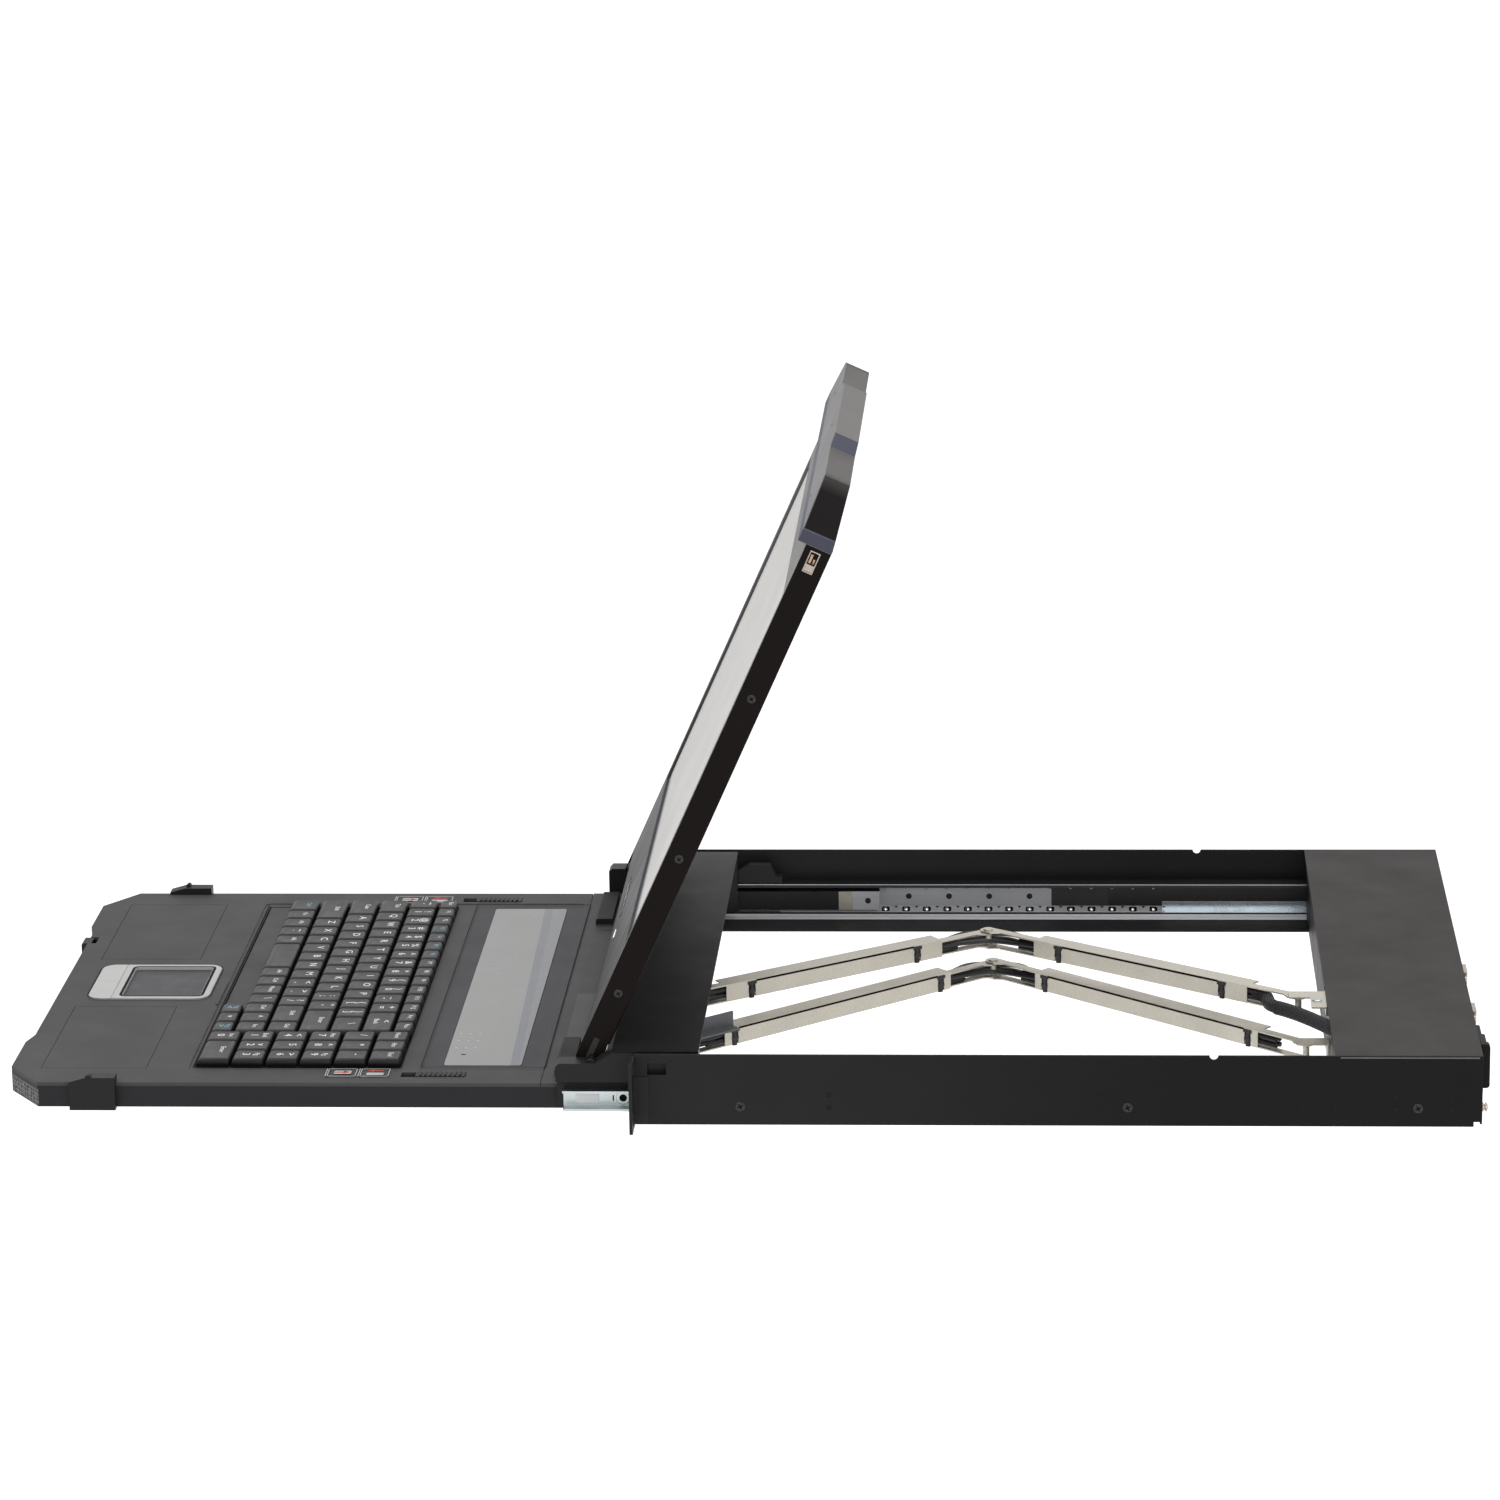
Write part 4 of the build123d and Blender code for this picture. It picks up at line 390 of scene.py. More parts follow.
materials = {
    "chassis_paint": surface("chassis_black", (0.0215, 0.021, 0.0215), 0.45, specular=0.11,
                             edge_wear_and_highlight=(0.6, 8.0), paint=wall_painted_shade),
    "ear_paint": surface("ear_black", (0.013, 0.0125, 0.0125), 0.42, specular=0.2, edge_wear_and_highlight=(0.6, 10.0)),
    "cover_paint": surface("cover_black", (0.048, 0.042, 0.042), 0.5, specular=0.07, blotch=(7.0, 0.05),
                           edge_wear_and_highlight=(0.5, 2.6)),
    "tray_paint": surface("tray_black", (0.0165, 0.0165, 0.0185), 0.5, specular=0.2, edge_wear_and_highlight=(0.5, 7.0),
                          paint=corner_paint, relief=corner_relief),
    "lid_paint": surface("lid_black", (0.0062, 0.0040, 0.0036), 0.42, specular=0.08, edge_wear_and_highlight=(0.5, 14.0),
                         edge=0.0003),
    "deck_plastic": surface("deck_grey", (0.066, 0.065, 0.0665), 0.6, specular=0.2, blotch=(7.0, 0.08),
                            grain=(1500.0, 0.35, 0.0001), edge_wear_and_highlight=(0.9, 2.3), paint=deck_paint),
    "carriage_plastic": surface("carriage_black", (0.0115, 0.0115, 0.0125), 0.45, specular=0.2,
                                edge_wear_and_highlight=(0.3, 4.0)),
    "bezel_plastic": surface("bezel_grey", (0.23, 0.225, 0.23), 0.5, specular=0.1, blotch=(6.0, 0.07),
                             paint=lip_painted_reflection, edge_wear_and_highlight=(0.9, 2.6)),
    "key_plastic": surface("key_grey", (0.046, 0.044, 0.0445), 0.42, specular=0.22, blotch=(40.0, 0.10),
                           grain=(2600.0, 0.4, 0.00006), edge=0.0003, edge_wear_and_highlight=(0.3, 2.2), paint=key_flank_shade),
    "panel_plastic": surface("panel_grey", (0.275, 0.275, 0.272), 0.3, specular=0.3, coat=0.1,
                             blotch=(5.0, 0.06), grain=(700.0, 0.05, 0.00004), edge_wear_and_highlight=NO_WEAR_OR_HIGHLIGHT,
                             edge=0.0001, paint=panel_paint),
    "frame_plastic": surface("frame_silver", (0.50, 0.50, 0.495), 0.38, specular=0.4, blotch=(30.0, 0.06),
                             grain=(2400.0, 0.2, 0.00005), edge_wear_and_highlight=(0.25, 1.5)),
    "pad_plastic": surface("pad_dark", (0.050, 0.050, 0.056), 0.45, specular=0.25, blotch=(20.0, 0.1),
                           edge_wear_and_highlight=(0.1, 1.5)),
    "button_plastic": surface("button_silver", (0.52, 0.52, 0.51), 0.36, specular=0.4,
                              blotch=(30.0, 0.05), grain=(2400.0, 0.2, 0.00005), edge_wear_and_highlight=(0.25, 1.5)),
    "screen_glass": surface("screen_pale", (0.60, 0.58, 0.555), 0.35, specular=0.25, blotch=(3.0, 0.02),
                            grain=(3000.0, 0.1, 0.00002), edge_wear_and_highlight=NO_WEAR_OR_HIGHLIGHT, edge=0.0001,
                            paint=screen_paint),
    "menu_plastic": surface("menu_blue", (0.05, 0.055, 0.085), 0.25, coat=0.4, edge_wear_and_highlight=(0.6, 5.0)),
    "zinc": surface("zinc_bright", (0.44, 0.475, 0.48), 0.34, metal=1.0, blotch=(14.0, 0.06),
                    grain=(240.0, 0.05, 0.00003), stretch=BRUSHED_Y, edge_wear_and_highlight=(0.9, 2.0)),
    "cage_steel": surface("cage_grey", (0.50, 0.505, 0.53), 0.45, specular=0.4, blotch=(20.0, 0.08),
                          grain=(600.0, 0.12, 0.00004), stretch=BRUSHED_Y, edge_wear_and_highlight=(0.35, 1.6)),
    "outer_steel": surface("slide_black", (0.021, 0.021, 0.0205), 0.36, metal=0.2, specular=0.25,
                           edge_wear_and_highlight=(0.5, 9.0)),
    "arm_steel": surface("arm_nickel", (0.52, 0.488, 0.425), 0.42, metal=0.75, specular=0.4,
                         blotch=(14.0, 0.08), grain=(700.0, 0.15, 0.00004), edge=0.0003,
                         edge_wear_and_highlight=(0.9, 1.6)),
    "screw_steel": surface("screw_dark", (0.016, 0.016, 0.019), 0.3, metal=0.3, blotch=(200.0, 0.15),
                           edge_wear_and_highlight=(0.8, 6.0), edge=0.0002),
    "pin_steel": surface("pin_black", (0.02, 0.0185, 0.018), 0.25, metal=0.5, stretch=BRUSHED_X,
                         edge_wear_and_highlight=(0.3, 5.0)),
    "plate_steel": surface("plate_dark", (0.045, 0.044, 0.046), 0.5, specular=0.2, edge_wear_and_highlight=(0.2, 2.0)),
    "socket_plastic": surface("socket_black", (0.012, 0.012, 0.013), 0.45, edge_wear_and_highlight=(0.2, 2.5)),
    "socket_metal": surface("socket_tin", (0.40, 0.35, 0.30), 0.3, metal=0.9, blotch=(120.0, 0.1),
                            edge_wear_and_highlight=(0.4, 1.8)),
    "board": surface("board_green", (0.012, 0.06, 0.03), 0.4, blotch=(150.0, 0.3)),
    "supply_steel": surface("supply_zinc", (0.5, 0.5, 0.51), 0.4, metal=1.0, blotch=(30.0, 0.15)),
    "lead_rubber": surface("lead_black", (0.010, 0.010, 0.0105), 0.42, specular=0.4,
                           blotch=(200.0, 0.2), edge_wear_and_highlight=NO_WEAR_OR_HIGHLIGHT),
}
# The carriage cover's finish, with the painted sheen and shade across its width.
cover_front = surface("cover_front", (0.031, 0.029, 0.029), 0.5, specular=0.09, blotch=(7.0, 0.05),
                      edge_wear_and_highlight=(0.5, 4.0), paint=cover_paint)
braid = surface("braid_black", (0.006, 0.006, 0.007), 0.5, specular=0.3, blotch=(160.0, 0.3),
                edge_wear_and_highlight=NO_WEAR_OR_HIGHLIGHT, paint=braid_paint, relief=braid_relief)
bracket_grey = surface("bracket_grey", (0.15, 0.153, 0.165), 0.5, metal=0.2, specular=0.3,
                       blotch=(30.0, 0.08), edge_wear_and_highlight=(0.6, 2.5))
# Black for painted shade in holes, slots, openings, screw recesses and gaps, and for dark joints and seams.
painted_shade_and_joints = surface("recess_black", (0.004, 0.004, 0.004), 0.7, specular=0.1, edge_wear_and_highlight=NO_WEAR_OR_HIGHLIGHT)
dimple_black = surface("dimple_black", (0.010, 0.0095, 0.0098), 0.5, specular=0.12, edge_wear_and_highlight=NO_WEAR_OR_HIGHLIGHT)
legend_white = surface("legend_white", (0.90, 0.90, 0.90), 0.6, specular=0.2, blotch=(300.0, 0.05),
                       edge_wear_and_highlight=NO_WEAR_OR_HIGHLIGHT)
legend_blue = surface("legend_blue", (0.25, 0.52, 0.62), 0.6, specular=0.2, blotch=(300.0, 0.08),
                      edge_wear_and_highlight=NO_WEAR_OR_HIGHLIGHT)
label_white = surface("label_white", (0.93, 0.94, 0.97), 0.5, specular=0.3, blotch=(60.0, 0.02),
                      edge_wear_and_highlight=(0.2, 0.8))
flange_steel = surface("flange_grey", (0.78, 0.785, 0.80), 0.35, specular=0.5, blotch=(20.0, 0.06),
                       stretch=BRUSHED_Y, edge_wear_and_highlight=(0.5, 1.2))
mark_red = surface("mark_red", (0.52, 0.06, 0.04), 0.5, specular=0.3, blotch=(90.0, 0.08), edge_wear_and_highlight=NO_WEAR_OR_HIGHLIGHT)
ball_steel = surface("ball_bright", (0.86, 0.87, 0.88), 0.12, metal=1.0, blotch=(300.0, 0.04),
                     edge_wear_and_highlight=NO_WEAR_OR_HIGHLIGHT, rough_range=0.04)
rail_steel = surface("rail_bright", (0.44, 0.48, 0.51), 0.26, metal=1.0, blotch=(8.0, 0.08),
                     grain=(520.0, 0.05, 0.00002), stretch=BRUSHED_Y, edge_wear_and_highlight=NO_WEAR_OR_HIGHLIGHT, edge=0.00002)
copper = surface("copper_tone", (0.42, 0.27, 0.19), 0.3, metal=1.0, blotch=(200.0, 0.1), edge_wear_and_highlight=(0.4, 1.6))
beige_steel = surface("stop_beige", (0.36, 0.33, 0.28), 0.45, metal=0.4, blotch=(60.0, 0.1),
                      edge_wear_and_highlight=(0.4, 1.5))

slot_of = {s["node"]: s["material_slot"] for s in frame["record"]["subparts"]}
for node_name, node in nodes.items():
    node.data.materials.clear()
    node.data.materials.append(materials[slot_of[node_name]])
nodes["carriage_cover"].data.materials[0] = cover_front
nodes["arm_front_brackets"].data.materials[0] = bracket_grey


class Shape:
    """One piece under construction, in millimetres. New faces take the finish numbered tone."""

    def __init__(self):
        self.bm = bmesh.new()
        self.tone = 0

    def vert(self, plane, x, y, z):
        return self.bm.verts.new(plane @ Vector((x, y, z)))

    def face(self, corners):
        made = self.bm.faces.new(list(dict.fromkeys(corners)))
        made.material_index = self.tone
        return made

    def strip(self, lower, upper):
        """Faces between two closed rings of equally many corners."""
        for k in range(len(lower)):
            n = (k + 1) % len(lower)
            self.face((lower[k], lower[n], upper[n], upper[k]))

    def prism(self, outline, low, high, plane=PLAIN):
        """An outline in the plane, raised from one height to another."""
        bottom = [self.vert(plane, x, y, low) for x, y in outline]
        top = [self.vert(plane, x, y, high) for x, y in outline]
        self.face(bottom[::-1])
        self.face(top)
        self.strip(bottom, top)

    def block(self, low, high, plane=PLAIN, bevel=0.0):
        """A block between two corners, with its four upright edges cut off by the bevel."""
        x0, y0, x1, y1 = low[0], low[1], high[0], high[1]
        if bevel:
            outline = [(x0 + bevel, y0), (x1 - bevel, y0), (x1, y0 + bevel), (x1, y1 - bevel),
                       (x1 - bevel, y1), (x0 + bevel, y1), (x0, y1 - bevel), (x0, y0 + bevel)]
        else:
            outline = [(x0, y0), (x1, y0), (x1, y1), (x0, y1)]
        self.prism(outline, low[2], high[2], plane)

    def turned(self, plane, profile, sides=20, squeeze=1.0):
        """Rings of (radius, height) about the plane's z axis. A ring of radius 0 is a point."""
        rings = []
        for radius, height in profile:
            count = sides if radius else 1
            rings.append([self.vert(plane, radius * math.cos(math.tau * k / sides),
                                    radius * squeeze * math.sin(math.tau * k / sides), height)
                          for k in range(count)])
        for lower, upper in zip(rings, rings[1:]):
            for k in range(sides):
                corners = ((lower, k), (lower, k + 1), (upper, k + 1), (upper, k))
                self.face([ring[step % len(ring)] for ring, step in corners])
        for ring, order in ((rings[0], -1), (rings[-1], 1)):
            if len(ring) > 2:
                self.face(ring[::order])

    def loft(self, rings):
        """A closed form through outlines of equally many points, each a list of (x, y, z)."""
        made = [[self.vert(PLAIN, *point) for point in ring] for ring in rings]
        for lower, upper in zip(made, made[1:]):
            self.strip(lower, upper)
        self.face(made[0][::-1])
        self.face(made[-1])

    def ball(self, centre, radius, sides=14, rings=9):
        """A round ball."""
        profile = [(radius * math.sin(math.pi * k / rings), -radius * math.cos(math.pi * k / rings))
                   for k in range(1, rings)]
        self.turned(Matrix.Translation(centre), [(0, -radius)] + profile + [(0, radius)], sides)

    def holed_sheet(self, plane, low, high, holes, radius, thickness):
        """A sheet in the plane between two corners, with round holes along its length."""
        half, middle, steps = (high[1] - low[1]) / 2, (high[1] + low[1]) / 2, 16
        made = []
        edge = [self.vert(plane, low[0], low[1], 0), self.vert(plane, low[0], high[1], 0)]
        for hole in holes:
            outer, inner = [], []
            for k in range(steps):
                c, s = math.cos(math.tau * k / steps), math.sin(math.tau * k / steps)
                reach = half / max(abs(c), abs(s))
                outer.append(self.vert(plane, hole + reach * c, middle + reach * s, 0))
                inner.append(self.vert(plane, hole + radius * c, middle + radius * s, 0))
            for k in range(steps):
                n = (k + 1) % steps
                made.append(self.face((inner[k], outer[k], outer[n], inner[n])))
            made.append(self.face(edge + [outer[k] for k in (6, 7, 8, 9, 10)]))
            edge = [outer[k] for k in (14, 15, 0, 1, 2)]
        end = [self.vert(plane, high[0], high[1], 0), self.vert(plane, high[0], low[1], 0)]
        made.append(self.face(edge + end))
        bmesh.ops.recalc_face_normals(self.bm, faces=made)
        bmesh.ops.solidify(self.bm, geom=made, thickness=thickness)

    def write(self, text, size, plane, wide):
        """Flat letters, centred on the plane's origin."""
        verts, faces = letters(text)
        made = [self.vert(plane, x * size * wide, y * size, 0) for x, y, _ in verts]
        for face in faces:
            self.face([made[k] for k in face])

    def finish(self, name, body, finishes, slot, smooth=False, solid=True):
        """The piece as an object that rides on a body."""
        if solid:
            bmesh.ops.recalc_face_normals(self.bm, faces=self.bm.faces)
        bmesh.ops.scale(self.bm, vec=(MM, MM, MM), verts=self.bm.verts)
        mesh = bpy.data.meshes.new(name)
        self.bm.to_mesh(mesh)
        self.bm.free()
        for finish in finishes:
            mesh.materials.append(finish)
        if smooth:
            mesh.shade_smooth()
        made = new_object(name, mesh)
        if body:
            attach(made, body)
        return made


def as_mesh(curve):
    """Corners and faces of a curve, which is then removed."""
    holder = bpy.data.objects.new("holder", curve)
    mesh = bpy.data.meshes.new_from_object(holder)
    found = ([tuple(v.co) for v in mesh.vertices], [tuple(p.vertices) for p in mesh.polygons])
    bpy.data.objects.remove(holder)
    bpy.data.curves.remove(curve)
    bpy.data.meshes.remove(mesh)
    return found


known_letters = {}


def letters(text):
    """Corners and faces of a text at size 1, centred."""
    if text not in known_letters:
        curve = bpy.data.curves.new("letters", "FONT")
        curve.body = text
        curve.align_x = curve.align_y = "CENTER"
        curve.resolution_u = 2
        curve.offset = 0.012
        known_letters[text] = as_mesh(curve)
    return known_letters[text]


def facing(place, outward):
    """A plane at a point whose z axis points outward."""
    turn = Vector(Z).rotation_difference(Vector(outward)).to_matrix().to_4x4()
    return Matrix.Translation(place) @ turn


def side_plane(x, out):
    """An upright plane at an X, with its x along Y and its y up. Its z points to +X or -X, as out says."""
    return Matrix(((0, 0, out, x), (1, 0, 0, 0), (0, 1, 0, 0), (0, 0, 0, 1)))


def lid_side_plane(x, out):
    """The same on the lid's side, with its x along the lid and its y square to the screen."""
    return Matrix(((0, 0, out, x), (LID_ALONG.y, LID_NORMAL.y, 0, HINGE_Y),
                   (LID_ALONG.z, LID_NORMAL.z, 0, HINGE_Z), (0, 0, 0, 1)))


def rounded(left, right, front, rear, corner, z):
    """A rectangle with rounded corners, at a height."""
    points = []
    for x, y, turn in ((right - corner, rear - corner, 0), (left + corner, rear - corner, 90),
                       (left + corner, front + corner, 180), (right - corner, front + corner, 270)):
        for step in (0, 30, 60, 90):
            angle = math.radians(turn + step)
            points.append((x + corner * math.cos(angle), y + corner * math.sin(angle), z))
    return points


# Keys: the caps, and the legends printed on their tops
CAP_RINGS = ((0.0, 0.0, KEY_BASE, 0.6), (0.5, 0.3, 0.0, 0.9), (1.1, 1.0, 1.2, 1.2),
             (1.6, 1.6, 1.68, 1.4), (2.1, 2.2, KEY_TOP, 1.5), (2.8, 3.0, DISH_Z, 1.6))


def key_row(widths, start, front, depth):
    """Left, right, front and rear limits of the caps in a row."""
    caps, column = [], start
    for width in widths:
        left = KEY_LEFT + column * KEY_PITCH
        column += width
        caps.append((left, KEY_LEFT + column * KEY_PITCH, front, front + depth))
    return caps


def main_row(index, widths, start=0, depth=ROW_DEPTH):
    return key_row(widths, start, KEY_FRONT + ARROW_DEPTH + index * ROW_DEPTH, depth)


def key_cap(shape, cap):
    """A cap with rounded shoulders, a longer slope at its front and a slightly dished top."""
    left, right, front, rear = cap
    gap = KEY_GAP / 2
    shape.loft([rounded(left + gap + inset, right - gap - inset, front + gap + inset + slope * 0.7,
                        rear - gap - inset * 0.8, corner, z)
                for inset, slope, z, corner in CAP_RINGS])


def legend(shape, cap, text):
    """One cap's print. A leading star makes it blue, and a bar parts the lower print from the upper one."""
    left, right, front, rear = cap
    shape.tone = 1 if text.startswith("*") and len(text) > 1 else 0
    parts = text.lstrip("*").split("|") if len(text) > 1 else [text]
    depth = rear - front
    spots = (0.66,) if len(parts) == 1 else (0.42, 0.74)
    for part, spot in zip(parts, spots):
        size, wide = (min(6.6, depth * 0.42), 1.35) if len(part) == 1 else (min(4.4, depth * 0.32), 1.15)
        place = Matrix.Translation(((left + right) / 2 - 0.4, front + depth * spot, DISH_Z + 0.04))
        shape.write(part, size, place, wide)


one = [1.0]
front_caps = main_row(0, [1.25] + one * 4) + main_row(0, one * 7, 8)
front_caps += key_row(one * 3, 12, KEY_FRONT, ARROW_DEPTH)
pad_caps = key_row([1.0, 2.0], PAD_COLUMN, KEY_FRONT, PAD_DEPTH)
for pad_row in range(1, 6):
    pad_caps += key_row(one * 3, PAD_COLUMN, KEY_FRONT + pad_row * PAD_DEPTH, PAD_DEPTH)
key_rows = (
    ("front_keys", "keys_front_row", front_caps,
     ["*Ctrl", "Fn", "Alt", "`|~", "Alt", "Alt", "Ctrl", "Menu", "\\", "Ctrl", "^", "Ins", "*<|Pg", "v",
      "*>|Pg"]),
    ("lower_keys", "keys_lower_row", main_row(1, [2.25] + one * 10 + [1.75, 1.0]),
     ["Shift", *"ZXCVBNM", ",|<", ".|>", "/|?", "Shift", "Del"]),
    ("home_keys", "keys_home_row", main_row(2, [1.75] + one * 11 + [2.25]),
     ["Caps", *"ASDFGHJKL", ";|:", "'|\"", "Enter"]),
    ("upper_keys", "keys_upper_row", main_row(3, [1.5] + one * 12 + [1.5]),
     ["Tab", *"QWERTYUIOP", "[|{", "]|}", "\\"]),
    ("digit_keys", "keys_digit_row", main_row(4, one * 13 + [2.0]),
     ["`|~", "1|!", "2|@", "3|#", "4|$", "5|%", "6|^", "7|&", "8|*", "9|(", "0|)", "-|_", "=|+", "Back|<"]),
    ("function_keys", "keys_function_row", main_row(5, one * 15, depth=FUNCTION_DEPTH),
     ["Esc", "F1", "F2", "*F3", "*F4", "*F5", "*F6", "F7", "F8", "F9", "F10", "F11", "F12", "Prt", "Pau"]),
    ("pad_keys", "keys_number_pad", pad_caps,
     ["0|Ins", "Enter", "1|End", "2|v", "3|Pg", "4|<", "5", "6|>", "7|Hm", "8|^", "9|Pg", "/", "*", "-",
      "Num", "Hm", "End"]),
)
for body, node_name, caps, texts in key_rows:
    prints, row = Shape(), Shape()
    for cap, text in zip(caps, texts):
        legend(prints, cap, text)
        key_cap(row, cap)
    prints.finish(f"legends_{body}", body, [legend_white, legend_blue], "key_plastic", solid=False)
    row = row.finish(f"caps_{body}", body, [materials["key_plastic"]], "key_plastic", smooth=True)
    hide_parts(node_name)
space = Shape()
key_cap(space, main_row(0, [2.75], 5.25)[0])
space = space.finish("cap_space", "space_key", [materials["key_plastic"]], "key_plastic", smooth=True)
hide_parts("space_bar")

# Ball cages: a web with holes, and flanges with a window round each ball
FLANGE_TOP, FLANGE_FOOT = (216.2, 6.95), (208.0, 8.75)  # from the middle plane and SLIDE_MIDDLE_Z
FLANGE_HALF, FLANGE_MARK = 0.3, 0.36
WEB, WINDOW, WEB_FULL_SHADE, BALL, FLANGE, WEB_HALF_SHADE = range(6)
cage = Shape()
for side in (-1, 1):
    web = side_plane(side * CAGE_WEB_X, side)
    holes = [HOLE_START + HOLE_PITCH * k for k in range(HOLE_COUNT)]
    cage.tone = WEB
    cage.holed_sheet(web, (CAGE_FRONT, CAGE_LOW), (CAGE_HOLED_END, CAGE_HIGH), holes, HOLE_RADIUS,
                     CAGE_SHEET)
    # Painted shade: the web's rear part is grey, then black.
    for tone, front, rear in ((WEB_HALF_SHADE, CAGE_HOLED_END, CAGE_GREY_END), (WEB_FULL_SHADE, CAGE_GREY_END, CAGE_REAR)):
        cage.tone = tone
        cage.block((front, CAGE_LOW, 0), (rear, CAGE_HIGH, CAGE_SHEET), web)
    for row_z, lean in ((BALL_ROWS[0], -1), (BALL_ROWS[1], 1)):
        top, foot = (Vector((side * x, 0, SLIDE_MIDDLE_Z + lean * z)) for x, z in (FLANGE_TOP, FLANGE_FOOT))
        across = (foot - top).normalized()
        out = across.cross(Vector(Y))
        if out.z * lean > 0:
            out = -out
        flange = Matrix(((0, across.x, out.x, top.x), (1, 0, 0, 0), (0, across.z, out.z, top.z),
                         (0, 0, 0, 1)))
        width = (foot - top).length
        cage.tone = FLANGE
        cage.block((CAGE_FRONT, 0, -FLANGE_HALF), (CAGE_REAR, width, FLANGE_HALF), flange)
        for index in range(BALL_COUNT):
            y = BALL_START + index * BALL_PITCH
            gap = y + BALL_PITCH / 2
            # The windows round the balls are black blocks, painted shade in the openings; the marks between
            # them are black too.
            cage.tone = WINDOW
            cage.block((y - 2.4, 1.4, FLANGE_HALF), (y + 2.9, width - 0.5, FLANGE_MARK), flange, bevel=0.9)
            cage.block((gap - 0.9, 0.6, FLANGE_HALF), (gap + 1.5, 1.5, FLANGE_MARK), flange)
            cage.block((gap - 0.1, 1.5, FLANGE_HALF), (gap + 0.7, 3.2, FLANGE_MARK), flange)
            cage.tone = BALL
            cage.ball((side * BALL_X, y, row_z), BALL_RADIUS)
cages = cage.finish("ball_cages_detailed", "cages",
                    [materials["cage_steel"], painted_shade_and_joints, materials["outer_steel"], ball_steel, flange_steel,
                     materials["plate_steel"]], "cage_steel")
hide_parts("ball_cages")

# Bright raceways in the outer slides, the lit lip and foot below them, and the lit top edge
LIFT = 0.04
race = ((OUTER_WEB_X, -13.4), (OUTER_WEB_X, OUTER_FLOOR_Z), (206.3, OUTER_FLOOR_Z),
        (206.3, OUTER_FLOOR_Z + LIFT), (OUTER_WEB_X - LIFT, OUTER_FLOOR_Z + LIFT),
        (OUTER_WEB_X - LIFT, -13.4))
lip = ((OUTER_LIP_X, -20.5), (206.0, -20.5), (206.0, OUTER_FLOOR_Z), (OUTER_LIP_X, OUTER_FLOOR_Z))
foot = ((206.0, -20.75), (199.0, -20.75), (199.0, -20.6), (206.0, -20.5))
top_edge = ((OUTER_LIP_X, 1.15), (206.15, 1.15), (206.15, 1.45), (OUTER_LIP_X, 1.45))
raceways = Shape()
for side in (-1, 1):
    for tone, outline in ((0, race), (1, lip), (1, foot), (0, top_edge)):
        raceways.tone = tone
        raceways.prism([(side * x, z) for x, z in outline], OUTER_FRONT, OUTER_REAR, ALONG_Y)
raceways.finish("slide_raceways", "chassis", [rail_steel, flange_steel], "outer_steel")

# Plates on the inner slides' inner faces, and the label and washer on their outer webs
PLATE_ENDS = (38.1, 105.7, 115.0, 132.9)
PLATE_LOW, PLATE_HIGH = -15.9, -3.16
plates = Shape()
for side in (-1, 1):
    inside = side_plane(side * INNER_FACE_X, -side)
    for tone, (front, rear) in enumerate(zip(PLATE_ENDS, PLATE_ENDS[1:])):
        plates.tone = tone
        plates.block((front, PLATE_LOW, 0), (rear, PLATE_HIGH, 0.5), inside)
    plates.tone = 0
    near_x, far_x = sorted((side * INNER_FACE_X, side * INNER_OUTER_X))
    plates.block((near_x, PLATE_ENDS[0], -3.2), (far_x, PLATE_ENDS[-1], -3.17))
    plates.turned(inside @ Matrix.Translation((HOLE_START, SLIDE_MIDDLE_Z, 0)),
                  [(HOLE_RADIUS, 0.4), (HOLE_RADIUS, 0.54)])
plates.finish("slide_plates", "drawer", [materials["carriage_plastic"], beige_steel, materials["cage_steel"]],
              "zinc")

labels = Shape()
for side in (-1, 1):
    outside = side_plane(side * INNER_WEB_X, side)
    labels.tone = 0
    labels.block((-36.5, -12.9, 0), (-22.5, -6.6, 0.25), outside, bevel=0.8)
    labels.tone = 1
    hole = outside @ Matrix.Translation((-8.0, SLIDE_MIDDLE_Z, 0))
    labels.turned(hole, [(4.3, 0), (4.3, 0.5), (3.9, 0.8), (2.3, 0.8), (2.3, 0.05)], 28)
    # A black disc in the washer's hole, painted shade, and a small black bar.
    labels.tone = 2
    labels.turned(hole, [(2.25, 0.0), (2.25, 0.3)], 20)
    labels.block((-14.4, -11.4, 0), (-13.6, -8.0, 0.3), outside)
labels.finish("slide_labels", "drawer", [label_white, materials["zinc"], painted_shade_and_joints], "zinc")


# Screws: a domed head with a cross recess
def screw(shape, place, outward, radius, height):
    plane = facing(place, outward)
    shape.tone = 0
    shape.turned(plane, [(radius, -0.3), (radius, height * 0.35), (radius * 0.86, height * 0.8),
                         (radius * 0.5, height), (0, height)], 24)
    # The cross recess is a black cross standing proud: painted shade.
    shape.tone = 1
    arm, half = radius * 0.62, radius * 0.14
    for turn in (0.5, 0.5 + math.pi / 2):
        cross = plane @ Matrix.Rotation(turn, 4, "Z")
        shape.block((-arm, -half, height * 0.6), (arm, half, height + 0.01), cross)


